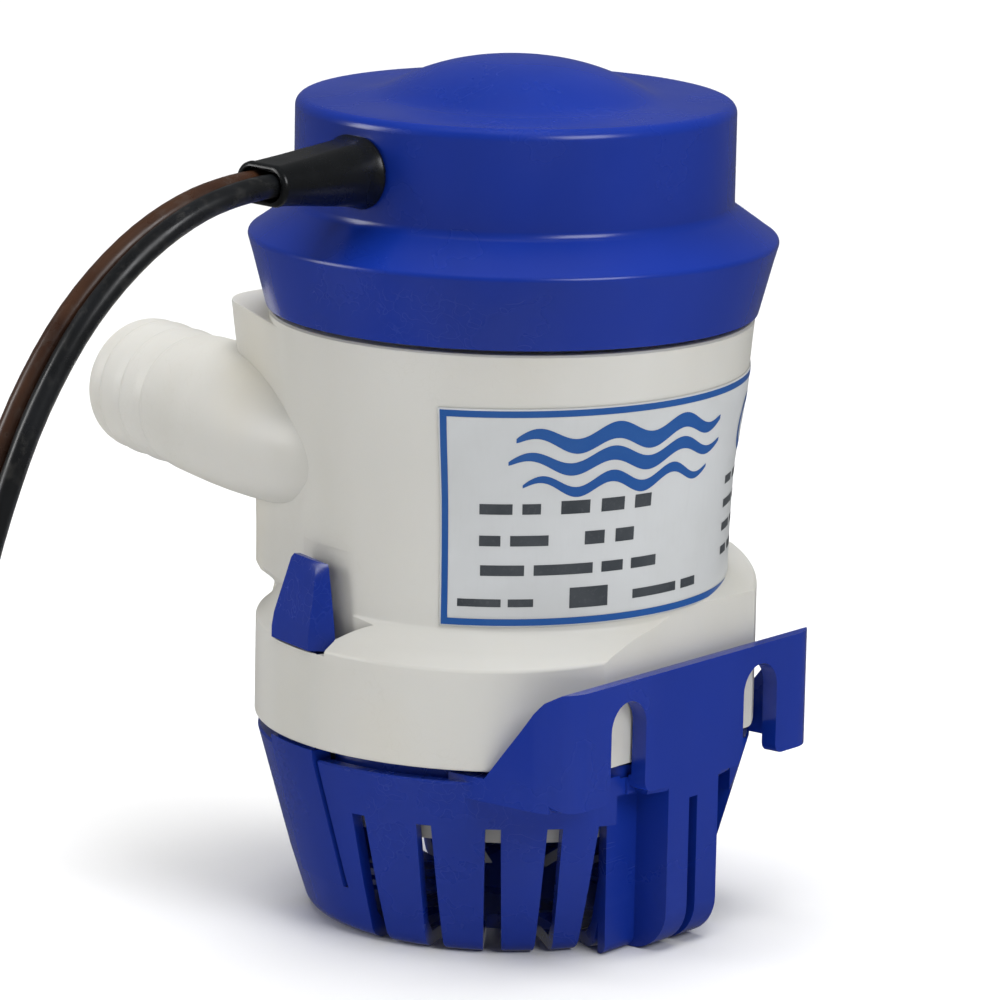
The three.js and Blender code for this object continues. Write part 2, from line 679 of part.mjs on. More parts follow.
// ---------------------------------------------------------------- motor cap and seal
function motorCap() {
  const corner = arc(CAP_R - CAP_ROUND, CAP_TOP - CAP_ROUND, CAP_ROUND, 0, 80, 3);
  const dome = [26, 22, 20, 18, 15, 12, 9, 6, 3, 0].map((r) => {
    const crown = CROWN * (1 - (r / CAP_R) ** 2);
    const height = DOME_RISE * (1 - (r / DOME_R) ** DOME_POWER);
    return [r, CAP_TOP + crown + (height + Math.hypot(height, DOME_FOOT)) / 2];
  });
  const shell = turned([
    [CAP_SOCKET_R, RING_BOTTOM],
    [RING_BOTTOM_R, RING_BOTTOM],
    [RING_R - 0.2, RING_WIDEST_Z - 0.8],
    [RING_R, RING_WIDEST_Z],
    [RING_R - 0.4, RING_WIDEST_Z + 0.8],
    [CAP_R + 0.8, CAP_FOOT_Z - 0.6],
    [CAP_R, CAP_FOOT_Z + 0.4],
    ...corner,
    ...dome,
    [0, CAP_CEILING + 0.3],
    [CAP_INNER_R, CAP_CEILING - 0.3],
    [CAP_INNER_R, NECK_TOP + GAP],
    [CAP_SOCKET_R, NECK_TOP + GAP],
    [CAP_SOCKET_R, RING_BOTTOM],
  ]);
  const hole = ovalLoft([[24, 5.3, 4.2], [40, 5.3, 4.2]]);
  return cut(shell, hole);
}

function capSeal() {
  const section = arc(31.1, 92, 0.75, 0, 360, 8);
  section[section.length - 1] = section[0];
  return turned(section, 48);
}

// ---------------------------------------------------------------- strain relief
// A flat oval bar along the relief's axis, from [distance, half width, half height] stations.
function ovalLoft(stations) {
  const rings = stations.map(([distance, halfWidth, halfHeight]) => {
    const steps = 20;
    const flat = halfWidth - halfHeight;
    return Array.from({ length: steps }, (_, i) => {
      const [c, s] = polar(halfHeight, (360 * (i + 0.5)) / steps);
      return [distance, c + Math.sign(c) * flat, s + RELIEF_Z];
    });
  });
  return spun(loft(rings), RELIEF_ANGLE);
}

function strainRelief() {
  const outside = ovalLoft([
    [25.6, 6.2, 4.6],
    [27.6, 6.2, 4.6],
    [27.61, 4.9, 3.8],
    [31.3, 4.9, 3.8],
    [31.31, 5.6, 4.6],
    [34, 5.6, 4.5],
    [RELIEF_END - 1, 4.9, 2.75],
    [RELIEF_END, 4.75, 2.6],
  ]);
  const mouth = ovalLoft([[LEAD_START - GAP, 4.0, 2.15], [RELIEF_END + 1, 4.0, 2.15]]);
  return cut(outside, mouth);
}

// ---------------------------------------------------------------- leads
// The way of the pair from the relief, in steps of [x, y, z], to the floor beside the coils.
const LEAD_ROUTE = [
  [-5.3, -43, 109.3],
  [-6, -52, 109.2],
  [-7.2, -61, 107.4],
  [-9, -70, 102.8],
  [-11.5, -78.5, 94.6],
  [-14, -85.5, 83],
  [-16.2, -90.6, 69],
  [-18.2, -94, 54],
  [-20, -96.2, 39],
  [-21.6, -97.6, 26],
];

// The brown lead ends on top of its coil; the black one goes on down beside it to the lower coil.
const BROWN_TAIL = [[-23.6, -97.4, 20], [-23.6, -97.4, 14.8]];
const BLACK_TAIL = [[-18.8, -97.3, 19], [-18.5, -97, 12], [-18.5, -97, 3.6]];

// One lead runs beside the other, each displaced from the middle of the pair.
function leadPath(side, lastPoints) {
  const [across, down] = polar(LEAD_SPACING * side, RELIEF_ANGLE + 90);
  const points = LEAD_ROUTE.map(([x, y, z]) => new THREE.Vector3(x + across, y + down, z));
  const tail = lastPoints.map(([x, y, z]) => new THREE.Vector3(x, y, z));
  return new THREE.CatmullRomCurve3([...points, ...tail], false, "centripetal");
}

function tube(curve, radius, steps, sides = 8) {
  const rim = arc(0, 0, radius, 0, 360, sides).slice(0, sides);
  const section = new THREE.Shape(rim.map(([x, y]) => new THREE.Vector2(x, y)));
  return solidOf(new THREE.ExtrudeGeometry(section, { extrudePath: curve, steps, bevelEnabled: false }));
}

function leadCoil(bottom) {
  const [inner, outer] = [COIL_MEAN_R - COIL_WIDTH / 2, COIL_MEAN_R + COIL_WIDTH / 2];
  const coil = ring(inner, outer, bottom, bottom + COIL_HEIGHT, 32);
  return coil.translate([COIL_CENTRE[0], COIL_CENTRE[1], 0]);
}

// ---------------------------------------------------------------- motor, from the shaft out
function motorCan() {
  return turned([
    [4.4, CAN_BOTTOM],
    [CAN_R, CAN_BOTTOM],
    [CAN_R, CAN_TOP],
    [CAN_R - 1.2, CAN_TOP],
    [CAN_R - 1.2, CAN_BOTTOM + 1.2],
    [5.4, CAN_BOTTOM + 1.2],
    [5.4, 59.6],
    [4.4, 59.6],
    [4.4, CAN_BOTTOM],
  ], 48);
}

function magnet(degrees) {
  const outline = [...arc(0, 0, 19, -62, 62, 10), ...arc(0, 0, 15.6, 62, -62, 10)];
  return spun(prism(outline, 62, 88), degrees);
}

function magnetClip() {
  const outline = [...arc(0, 0, 18.9, 68, 112, 4), ...arc(0, 0, 18.2, 112, 68, 4)];
  return prism(outline, 63, 87);
}

function armatureCore() {
  const hub = cut(rod(6, CORE_BOTTOM, CORE_TOP, 24), rod(SHAFT_R + GAP, 60, 90, 16));
  const poles = [0, 120, 240].map((degrees) => {
    const stem = box(5, 12.8, -2.4, 2.4, CORE_BOTTOM, CORE_TOP);
    const shoe = prism([...arc(0, 0, CORE_R, -48, 48, 8), ...arc(0, 0, 12.2, 48, -48, 8)], CORE_BOTTOM, CORE_TOP);
    return spun(join(stem, shoe), degrees);
  });
  return join(hub, ...poles);
}

function winding(degrees) {
  const outside = box(6.5, 10.7, -5.2, 5.2, CORE_BOTTOM - 2.6, CORE_TOP + 2.6);
  const inside = box(6, 12.5, -2.7, 2.7, CORE_BOTTOM - GAP, CORE_TOP + GAP);
  return spun(cut(outside, inside), degrees);
}

function commutator() {
  const barrel = ring(SHAFT_R + GAP, 5, 89.4, 95.6);
  const cuts = [60, 180, 300].map((degrees) => spun(box(4.4, 6, -0.25, 0.25, 89, 94.6), degrees));
  return cut(barrel, ...cuts);
}

// The plastic end of the motor, with two ears for its screws and a box for each brush.
function endBell() {
  const plate = ring(4.4, CAN_R, CAN_TOP + GAP, 98.8, 48);
  const hub = ring(4.4, 6, 98, 103.4);
  const ears = BOSS_ANGLES.map((degrees) => spun(box(18, 27.6, -3, 3, CAN_TOP + GAP, 98.8), degrees));
  const boxes = [0, 180].map((degrees) => spun(box(6.4, 13.4, -3.2, 3.2, 89.6, CAN_TOP + 1), degrees));
  const ways = [0, 180].map((degrees) => spun(box(5, 15, -2.3, 2.3, 90.6, 95.4), degrees));
  const holes = BOSS_ANGLES.map((degrees) => spun(rod(1.8, 90, 105, 12).translate([BOSS_RADIUS, 0, 0]), degrees));
  return cut(join(plate, hub, ...ears, ...boxes), ...ways, ...holes);
}

function brush(degrees) {
  return spun(box(5.3, 9.6, -2, 2, 90.9, 95.1), degrees);
}

// A leaf spring that presses the brush against the commutator.
function brushSpring(degrees) {
  return spun(box(9.9, 10.4, -1.8, 1.8, 91.1, 94.9).add(box(10.3, 13.2, -1.8, 1.8, 94.4, 94.9)), degrees);
}

function motorScrew(degrees) {
  const screw = turned([[0, 85], [1.25, 86], [1.25, 99.1], [2.8, 99.1], [2.8, 100.4], [1.9, 101.2], [0, 101.2]], 16);
  const recess = box(-1.7, 1.7, -0.35, 0.35, 100.5, 102);
  return spun(cut(screw, recess).translate([BOSS_RADIUS, 0, 0]), degrees);
}

function choke(side) {
  const body = rod(2.3, -6, 6, 16).rotate([0, 90, 0]);
  return body.translate([0, side * 12.5, 102.2]);
}

function capacitor() {
  return rod(4.2, -1.2, 1.2, 20).rotate([90, 0, 0]).translate([0, 0, 109.2]);
}

function terminal(side) {
  const blade = box(-2.2, 2.2, -0.35, 0.35, 99.1, 105.4);
  const foot = box(-2.2, 2.2, -0.35, 2.6, 99.1, 99.8);
  return join(blade, foot).translate([13.5, side * 6, 0]);
}

// A short lead inside the cap, from the relief to its choke.
function leadTail(side) {
  const [x, y] = polar(25, RELIEF_ANGLE);
  const [across, down] = polar(LEAD_SPACING * side, RELIEF_ANGLE + 90);
  const curve = new THREE.CatmullRomCurve3([
    new THREE.Vector3(x + across, y + down, RELIEF_Z),
    new THREE.Vector3(x + 2.6 * side, y + 4, RELIEF_Z - 0.4),
    new THREE.Vector3(4.8 * side, y + 9, RELIEF_Z - 1.5),
    new THREE.Vector3(9 * side, y + 12.7, RELIEF_Z - 4.6),
  ]);
  return tube(curve, 1, 10, 8);
}

// ---------------------------------------------------------------- rotor
function impeller() {
  const hub = ring(SHAFT_R + GAP, 5, 32.4, 44);
  const shroud = ring(SHAFT_R + GAP, IMPELLER_R, 41, 42.8, 48);
  const vanes = [0, 72, 144, 216, 288].map((degrees) => {
    const path = [4.5, 8, 12, 16, 20, IMPELLER_R].map((r) => [r, -((r - 4) ** 1.25) * 1.7]);
    const left = path.map(([r, turn]) => polar(r, turn + 40 / r));
    const right = path.map(([r, turn]) => polar(r, turn - 40 / r)).reverse();
    return spun(prism([...left, ...right], 33.4, 41.5), degrees);
  });
  return join(hub, shroud, ...vanes);
}

function impellerNut() {
  return cut(rod(3.2, 28.9, 32.1, 6), rod(SHAFT_R + GAP, 28, 33, 12));
}

// ---------------------------------------------------------------- the assembly
place("strainer_base", strainerBase(), "blue");
for (const [name, degrees] of Object.entries(LATCH_ANGLES)) place(name, latch(degrees), "blue");
place("pump_housing", pumpHousing(), "white");
place("inlet_plate", inletPlate(), "white");
place("label", label(), "label");
place("motor_cap", motorCap(), "blue");
place("cap_seal", capSeal(), "rubber");
place("strain_relief", strainRelief(), "rubber");

place("motor_can", motorCan(), "steel");
[0, 180].forEach((degrees, i) => place(`magnet_${i + 1}`, magnet(degrees), "ferrite"));
place("magnet_clip", magnetClip(), "steel");
place("end_bell", endBell(), "nylon");
[0, 180].forEach((degrees, i) => {
  place(`brush_${i + 1}`, brush(degrees), "carbon");
  place(`brush_spring_${i + 1}`, brushSpring(degrees), "brass");
});
place("front_bearing", ring(SHAFT_R + 0.06, 4.2, 54.2, 59.4), "brass");
place("rear_bearing", ring(SHAFT_R + 0.06, 4.2, 98.4, 103.2), "brass");
place("shaft_seal", ring(SHAFT_R + 0.06, 6, 47.8, 51.6), "rubber");
place("seal_retainer", ring(2.4, 6, 51.9, 52.7), "steel");
BOSS_ANGLES.forEach((degrees, i) => place(`motor_screw_${i + 1}`, motorScrew(degrees), "steel"));
[1, -1].forEach((side, i) => {
  place(`choke_${i + 1}`, choke(side), "ferrite");
  place(`terminal_${i + 1}`, terminal(side), "brass");
});
place("capacitor", capacitor(), "disc");
place("lead_tail_black", leadTail(1), "rubber");
place("lead_tail_brown", leadTail(-1), "brown");

place("motor_shaft", rod(SHAFT_R, 29.4, 102.8, 16), "steel");
place("armature_core", armatureCore(), "core");
[0, 120, 240].forEach((degrees, i) => place(`winding_${i + 1}`, winding(degrees), "copper"));
place("commutator", commutator(), "copper");
place("impeller", impeller(), "nylon");
place("impeller_nut", impellerNut(), "brass");
place("thrust_washer_1", ring(SHAFT_R + GAP, 4, 59.9, 60.7), "nylon");
place("thrust_washer_2", ring(SHAFT_R + GAP, 4, 96.6, 97.4), "nylon");

place("lead_black", tube(leadPath(1, BLACK_TAIL), LEAD_R, 26), "rubber");
place("lead_brown", tube(leadPath(-1, BROWN_TAIL), LEAD_R, 24), "brown");
place("coil_black", leadCoil(FLOOR_GAP), "rubber");
place("coil_brown", leadCoil(FLOOR_GAP + COIL_HEIGHT + GAP), "brown");

export default pump;
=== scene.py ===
"""A submersible bilge pump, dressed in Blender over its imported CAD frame.

Everything is in metres in the CAD's own frame: the motor axis is Z, the underside of the
strainer base is z = 0, and +X is the outward direction of the bulkhead bracket.
"""

import json
from math import acos, atan2, ceil, cos, degrees, pi, radians, sin, sqrt

import bmesh
import bpy
from mathutils import Matrix, Vector

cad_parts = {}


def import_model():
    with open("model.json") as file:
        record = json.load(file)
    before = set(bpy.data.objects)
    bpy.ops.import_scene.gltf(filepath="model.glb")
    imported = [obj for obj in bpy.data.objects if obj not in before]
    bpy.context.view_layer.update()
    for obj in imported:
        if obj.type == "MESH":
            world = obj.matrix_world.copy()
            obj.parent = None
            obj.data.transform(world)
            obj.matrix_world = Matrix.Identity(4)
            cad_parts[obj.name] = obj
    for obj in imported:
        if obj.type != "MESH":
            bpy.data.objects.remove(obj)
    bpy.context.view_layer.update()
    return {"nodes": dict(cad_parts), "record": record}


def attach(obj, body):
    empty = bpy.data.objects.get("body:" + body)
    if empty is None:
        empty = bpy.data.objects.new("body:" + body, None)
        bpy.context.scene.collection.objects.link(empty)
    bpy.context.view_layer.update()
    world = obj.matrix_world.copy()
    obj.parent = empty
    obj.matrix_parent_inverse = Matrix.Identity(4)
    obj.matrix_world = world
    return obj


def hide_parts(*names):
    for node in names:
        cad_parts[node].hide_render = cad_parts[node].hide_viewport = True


MM = 0.001
AROUND = 192  # steps round the large pieces

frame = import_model()

# ---------------------------------------------------------------- sizes, in millimetres
RIM_Z = 26.5
RIM_R = 35.2
TAPER = 0.28
WALL = 2.0
FLANGE_R = 35.6
FLANGE_BOTTOM = 28.2
FLANGE_TOP = 46.2
EDGE_Z = 42.7  # the crease round the outside of the flange's sloping top
EDGE_START = -65  # from here the crease climbs, and later the whole top does
EDGE_PER_DEGREE = 0.075
RAMP_START = -12
RAMP_END = 190
RAMP_PER_DEGREE = 0.072
RISER_TOP = 85.2
BODY_TOP = 86.4
BODY = [
    (31.2, 46),
    (31.25, 54),
    (31.45, 60),
    (31.8, 65.7),
    (32.25, 69),
    (33.3, 76),
    (34.2, RISER_TOP),
    (34.3, BODY_TOP),
]
RISER_ANGLE = -164
RISER_ROUND = 9.4
RISER_FOOT = 28.8  # how far out its nose is centred at the flange
RISER_FLARE = 1.45  # and how fast that grows beside the body's own flare
NOZZLE_ANGLE = 160
NOZZLE_OFFSET = 25.6
NOZZLE_Z = 67.6
NOZZLE_END = 60.4
LATCHES = {"latch_left": -109.5, "latch_right": 70.5}
CAP_R = 31.0
CAP_TOP = 116.9
CAP_ROUND = 1.6
CROWN = 0.3
DOME_R = 19.7
DOME_RISE = 5.3
DOME_FOOT = 0.9
RELIEF_ANGLE = -97
RELIEF_Z = 109.3
RELIEF_END = 48.7
LABEL_START = -69
LABEL_END = 55
LABEL_BOTTOM = 47.6
LABEL_TOP = 79.9
LABEL_LEAN = 0.018  # the sheet was stuck on a little askew, rising to the right
LABEL_RADIUS = 32.2  # the mean radius that its print is laid out on
PLATE_X = 34  # the outer face of the bracket plate
PLATE_HALF = 30
PLATE_BOTTOM = 24.2
PLATE_TOP = 40.9
SPINE_HALF = 5.8
PILLAR_HALF = 13.2  # half the width across both pillars beside the spine
SCREW_OFFSET = 15.35
SCREW_R = 3.95
SCREW_TOP = 38.1
ARM_FOOT = 7.5  # a latch's arm bends here
ARM_TOP = 27.8
ARM_HALF = 5.6
WINDOW_HALF = 6.1
HOOK_Z = 42.0
HOOK_TOP = 54.2
MOTOR_BAY_TOP = 97


# ---------------------------------------------------------------- small helpers
def polar(r, angle):
    return r * cos(radians(angle)), r * sin(radians(angle))


def arc(cx, cy, r, start, end, steps):
    spread = [start + (end - start) * i / steps for i in range(steps + 1)]
    return [(cx + polar(r, a)[0], cy + polar(r, a)[1]) for a in spread]


def mix(a, b, t):
    return a + (b - a) * t


def smooth_step(t):
    t = min(max(t, 0.0), 1.0)
    return t * t * (3 - 2 * t)


def along(points, z):
    """The radius at height z of a smooth outline through (radius, height) points."""
    if z <= points[0][1]:
        return points[0][0]
    for i in range(len(points) - 1):
        (r0, z0), (r1, z1) = points[i], points[i + 1]
        if z <= z1:
            before = points[max(i - 1, 0)]
            after = points[min(i + 2, len(points) - 1)]
            m0 = (r1 - before[0]) / (z1 - before[1])
            m1 = (after[0] - r0) / (after[1] - z0)
            h = z1 - z0
            t = (z - z0) / h
            return (
                (2 * t**3 - 3 * t**2 + 1) * r0
                + (t**3 - 2 * t**2 + t) * h * m0
                + (-2 * t**3 + 3 * t**2) * r1
                + (t**3 - t**2) * h * m1
            )
    return points[-1][0]


def mesh_object(name, vertices, faces, material=None):
    """A new object from points in millimetres."""
    data = bpy.data.meshes.new(name)
    data.from_pydata([(x * MM, y * MM, z * MM) for x, y, z in vertices], [], faces)
    data.validate()
    work = bmesh.new()
    work.from_mesh(data)
    bmesh.ops.remove_doubles(work, verts=work.verts, dist=1e-7)
    bmesh.ops.recalc_face_normals(work, faces=work.faces)
    work.to_mesh(data)
    work.free()
    piece = bpy.data.objects.new(name, data)
    bpy.context.scene.collection.objects.link(piece)
    if material:
        data.materials.append(material)
    for face in data.polygons:
        face.use_smooth = True
    return piece


def grid_faces(rows, columns, closed_rows=False, closed_columns=False):
    faces = []
    for i in range(rows if closed_rows else rows - 1):
        for k in range(columns if closed_columns else columns - 1):
            a = i * columns + k
            b = i * columns + (k + 1) % columns
            c = ((i + 1) % rows) * columns + (k + 1) % columns
            d = ((i + 1) % rows) * columns + k
            faces.append((a, b, c, d))
    return faces


def turned(name, profile, steps=AROUND):
    """A solid of revolution about Z, from a closed loop or a profile with both ends on the axis."""
    vertices = []
    for i in range(steps):
        angle = 360 * i / steps
        vertices += [(*polar(r, angle), z) for r, z in profile]
    on_axis = profile[0][0] == 0 and profile[-1][0] == 0
    faces = grid_faces(steps, len(profile), True, not on_axis)
    return mesh_object(name, vertices, faces)


def loft(name, rings):
    """A closed skin over rings that have the same number of points, with a flat cap on each end."""
    count = len(rings[0])
    vertices = [p for ring in rings for p in ring]
    faces = grid_faces(len(rings), count, False, True)
    faces.append(tuple(range(count - 1, -1, -1)))
    faces.append(tuple((len(rings) - 1) * count + k for k in range(count)))
    return mesh_object(name, vertices, faces)


def prism(name, outline, bottom, top):
    """An upright prism over an outline of (x, y) points."""
    return loft(name, [[(x, y, z) for x, y in outline] for z in (bottom, top)])


def slab(name, outline, y0, y1):
    """A prism along Y over an outline of (x, z) points."""
    return loft(name, [[(x, y, z) for x, z in outline] for y in (y0, y1)])


def bar(name, outline, x0, x1):
    """A prism along X over an outline of (y, z) points."""
    return loft(name, [[(x, y, z) for y, z in outline] for x in (x0, x1)])


def block(name, x0, x1, y0, y1, z0, z1):
    return prism(name, [(x0, y0), (x1, y0), (x1, y1), (x0, y1)], z0, z1)


def spin(piece, angle):
    """Turns a piece's own points about the motor axis."""
    piece.data.transform(Matrix.Rotation(radians(angle), 4, "Z"))
    return piece


def apply_modifiers(piece):
    graph = bpy.context.evaluated_depsgraph_get()
    made = bpy.data.meshes.new_from_object(piece.evaluated_get(graph))
    piece.modifiers.clear()
    piece.data = made
    return piece


def combine(piece, others, operation):
    """Joins other solids to a piece or cuts them from it, and removes them."""
    for other in others:
        modifier = piece.modifiers.new("combine", "BOOLEAN")
        modifier.operation = operation
        modifier.solver = "EXACT"
        modifier.object = other
    apply_modifiers(piece)
    for other in others:
        bpy.data.objects.remove(other)
    return piece


def soften(piece, width, angle=35, steps=2):
    """Rounds every edge sharper than an angle by a width in millimetres."""
    modifier = piece.modifiers.new("soften", "BEVEL")
    modifier.width = width * MM
    modifier.segments = steps
    modifier.limit_method = "ANGLE"
    modifier.angle_limit = radians(angle)
    modifier.use_clamp_overlap = True
    apply_modifiers(piece)
    return shade(piece, 50)


def shade(piece, angle):
    """Smooth shading that keeps edges sharper than an angle, and keeps large faces flat."""
    data = piece.data
    for face in data.polygons:
        face.use_smooth = True
    data.set_sharp_from_angle(angle=radians(angle))
    modifier = piece.modifiers.new("weigh", "WEIGHTED_NORMAL")
    modifier.keep_sharp = True
    modifier.weight = 90
    return apply_modifiers(piece)


def finish_piece(piece, body, slot, material, *nodes):
    """Gives a piece its material, its body, and the CAD nodes that it stands for."""
    if piece.type == "MESH":
        piece.data.materials.clear()
    piece.data.materials.append(material)
    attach(piece, body)
    if nodes:
        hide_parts(*nodes)
    return piece


# ---------------------------------------------------------------- materials
class Nodes:
    """A thin hand for building a material's node tree."""

    def __init__(self, name):
        self.material = bpy.data.materials.new(name)
        self.material.use_nodes = True
        self.tree = self.material.node_tree
        self.shader = self.tree.nodes["Principled BSDF"]
        self.place = self.add("ShaderNodeTexCoord").outputs["Object"]

    def add(self, kind, inputs=None, **settings):
        node = self.tree.nodes.new(kind)
        for key, value in settings.items():
            setattr(node, key, value)
        for key, value in (inputs or {}).items():
            if isinstance(value, bpy.types.NodeSocket):
                self.tree.links.new(value, node.inputs[key])
            else:
                node.inputs[key].default_value = value
        return node

    def noise(self, scale, detail=2.0, roughness=0.5, where=None):
        values = {"Scale": scale, "Detail": detail, "Roughness": roughness}
        values["Vector"] = where or self.place
        return self.add("ShaderNodeTexNoise", values).outputs["Fac"]

    def stretched(self, x, y, z):
        values = {"Vector": self.place, "Scale": (x, y, z)}
        return self.add("ShaderNodeMapping", values).outputs["Vector"]

    def ramp(self, value, *stops):
        node = self.add("ShaderNodeValToRGB", {"Fac": value})
        elements = node.color_ramp.elements
        while len(elements) < len(stops):
            elements.new(0.5)
        for element, (position, color) in zip(elements, stops):
            element.position = position
            element.color = (*color, 1)
        return node.outputs["Color"]

    def range(self, value, low, high, start=0.0, end=1.0):
        values = {"Value": value, "From Min": start, "From Max": end, "To Min": low, "To Max": high}
        return self.add("ShaderNodeMapRange", values).outputs["Result"]

    def maths(self, operation, a, b):
        return self.add("ShaderNodeMath", {0: a, 1: b}, operation=operation).outputs[0]

    def blend(self, factor, a, b):
        node = self.add("ShaderNodeMix", data_type="RGBA", blend_type="MIX")
        for key, value in ((0, factor), (6, a), (7, b)):
            if isinstance(value, bpy.types.NodeSocket):
                self.tree.links.new(value, node.inputs[key])
            else:
                node.inputs[key].default_value = value if key == 0 else (*value[:3], 1)
        return node.outputs[2]

    def bump(self, height, strength, distance, below=None):
        values = {"Height": height, "Strength": strength, "Distance": distance * MM}
        if below:
            values["Normal"] = below
        return self.add("ShaderNodeBump", values).outputs["Normal"]

    def scratches(self, scale, width):
        """Sparse thin hairlines, run out along two directions: 1 on a scratch, 0 elsewhere."""
        found = None
        for turn_x, turn_z in [(0.4, 0.6), (1.2, 2.1)]:
            turn = self.add("ShaderNodeMapping", {"Vector": self.place})
            turn.inputs["Rotation"].default_value = (turn_x, 0.3, turn_z)
            turn.inputs["Scale"].default_value = (1, 0.06, 1)
            lines = self.noise(scale, 1.0, 0.4, turn.outputs["Vector"])
            off_middle = self.maths("ABSOLUTE", self.maths("SUBTRACT", lines, 0.5), 0.0)
            line = self.range(off_middle, 1.0, 0.0, 0.0, width)
            found = line if found is None else self.maths("MAXIMUM", found, line)
        patches = self.range(self.noise(38, 1.0), 0.0, 1.0, 0.56, 0.66)
        return self.maths("MULTIPLY", found, patches)

    def set(self, **values):
        """Puts numbers straight on the shader's own sockets, and links what is a socket."""
        for key, value in values.items():
            socket = self.shader.inputs[key.replace("_", " ")]
            if isinstance(value, bpy.types.NodeSocket):
                self.tree.links.new(value, socket)
            else:
                socket.default_value = value
        return self.material


def moulded_plastic(
    name, base, dark, light, rough, scatter=0.0, wear=None, stain=None, grain=0.006, gloss=0.5
):
    """Satin injection-moulded plastic: slow flow marks, fine texture, handling wear and dust."""
    n = Nodes(name)
    flow = n.noise(26, 3.0, 0.5, n.stretched(1, 1, 0.35))
    color = n.ramp(flow, (0.3, dark), (0.5, base), (0.72, light))
    if stain:
        color = n.blend(n.range(n.noise(24, 2.0), 0.0, 0.4, 0.52, 0.74), color, stain)
    speckle = n.range(n.noise(900, 2.0), 0.0, 1.0, 0.62, 0.78)
    color = n.blend(n.maths("MULTIPLY", speckle, 0.10), color, light)
    scuffs = n.scratches(420, 0.012)
    color = n.blend(n.maths("MULTIPLY", scuffs, 0.16), color, wear or light)
    smears = n.noise(45, 4.0, 0.6)
    roughness = n.range(smears, rough - 0.05, rough + 0.09, 0.3, 0.7)
    roughness = n.maths("ADD", roughness, n.maths("MULTIPLY", scuffs, 0.05))
    fine = n.noise(2600, 2.0, 0.6)
    surface = n.bump(fine, 0.30, grain)
    slow = n.noise(120, 2.0, 0.4)
    surface = n.bump(slow, 0.35, 0.03, surface)
    n.set(Base_Color=color, Roughness=roughness, Normal=surface, IOR=1.5)
    n.set(Specular_IOR_Level=gloss)
    if scatter:
        n.set(Subsurface_Weight=scatter, Subsurface_Radius=(0.004, 0.003, 0.002))
        n.set(Subsurface_Scale=0.6)
    return n.material


def blue_plastic():
    return moulded_plastic(
        "blue_plastic",
        (0.0045, 0.025, 0.25),
        (0.003, 0.02, 0.205),
        (0.008, 0.031, 0.29),
        0.23,
        wear=(0.02, 0.05, 0.34),
        gloss=0.45,
    )


def white_plastic():
    return moulded_plastic(
        "white_plastic",
        (0.59, 0.58, 0.54),
        (0.53, 0.52, 0.47),
        (0.63, 0.625, 0.59),
        0.42,
        scatter=0.08,
        wear=(0.5, 0.48, 0.42),
        stain=(0.60, 0.55, 0.42),
        grain=0.005,
    )


def black_rubber():
    n = Nodes("black_rubber")
    bloom = n.range(n.noise(70, 4.0, 0.6), 0.0, 1.0, 0.4, 0.75)
    color = n.blend(n.maths("MULTIPLY", bloom, 0.5), (0.003, 0.0035, 0.004), (0.010, 0.0115, 0.013))
    roughness = n.range(n.noise(160, 3.0), 0.20, 0.34, 0.3, 0.7)
    surface = n.bump(n.noise(1900, 2.0), 0.2, 0.004)
    n.set(Base_Color=color, Roughness=roughness, Normal=surface, IOR=1.5)
    return n.set(Specular_IOR_Level=0.4)


def lead_skin(name, dark, light):
    """The extruded insulation of a lead, with faint lengthwise drawing marks."""
    n = Nodes(name)
    color = n.ramp(n.noise(110, 3.0), (0.35, dark), (0.7, light))
    dust = n.range(n.noise(420, 3.0, 0.65), 0.0, 0.25, 0.55, 0.8)
    color = n.blend(dust, color, (0.10, 0.095, 0.085))
    roughness = n.range(n.noise(240, 3.0), 0.24, 0.40, 0.3, 0.7)
    surface = n.bump(n.noise(1300, 2.0), 0.3, 0.008)
    return n.set(Base_Color=color, Roughness=roughness, Normal=surface, IOR=1.5)


def label_film():
    """Matt laminate over a cool white print, a little yellowed and handled."""
    n = Nodes("label_film")
    age = n.noise(38, 4.0, 0.55)
    old, usual, clean = (0.50, 0.51, 0.505), (0.555, 0.57, 0.575), (0.60, 0.615, 0.625)
    color = n.ramp(age, (0.3, old), (0.55, usual), (0.8, clean))
    fibres = n.noise(1500, 3.0, 0.6, n.stretched(1, 1, 0.2))
    color = n.blend(n.range(fibres, 0.0, 0.06, 0.5, 0.75), color, (0.4, 0.4, 0.4))
    roughness = n.range(n.noise(60, 3.0), 0.30, 0.44, 0.3, 0.7)
    surface = n.bump(n.noise(240, 2.0), 0.2, 0.02)
    return n.set(Base_Color=color, Roughness=roughness, Normal=surface, IOR=1.46)


def ink(name, color, thin):
    """Printed ink, thinner in places."""
    n = Nodes(name)
    spots = n.range(n.noise(1700, 3.0, 0.6), 0.0, 1.0, 0.55, 0.75)
    slow = n.noise(90, 3.0)
    tone = n.blend(n.range(slow, 0.0, 0.35, 0.3, 0.7), color, thin)
    tone = n.blend(n.maths("MULTIPLY", spots, 0.22), tone, thin)
    roughness = n.range(slow, 0.32, 0.44, 0.3, 0.7)
    return n.set(Base_Color=tone, Roughness=roughness, IOR=1.46)


def metal(name, base, tint, rough, brushed=(1, 1, 12)):
    """Turned or pressed metal with fine tool marks and slow staining."""
    n = Nodes(name)
    marks = n.noise(900, 3.0, 0.6, n.stretched(*brushed))
    stain = n.noise(80, 4.0, 0.6)
    color = n.blend(n.range(stain, 0.0, 0.6, 0.4, 0.75), base, tint)
    color = n.blend(n.range(marks, 0.0, 0.25, 0.4, 0.8), color, tint)
    roughness = n.maths("ADD", n.range(marks, rough - 0.06, rough + 0.08), n.range(stain, 0.0, 0.08))
    surface = n.bump(marks, 0.25, 0.008)
    return n.set(Base_Color=color, Roughness=roughness, Normal=surface, Metallic=1.0)


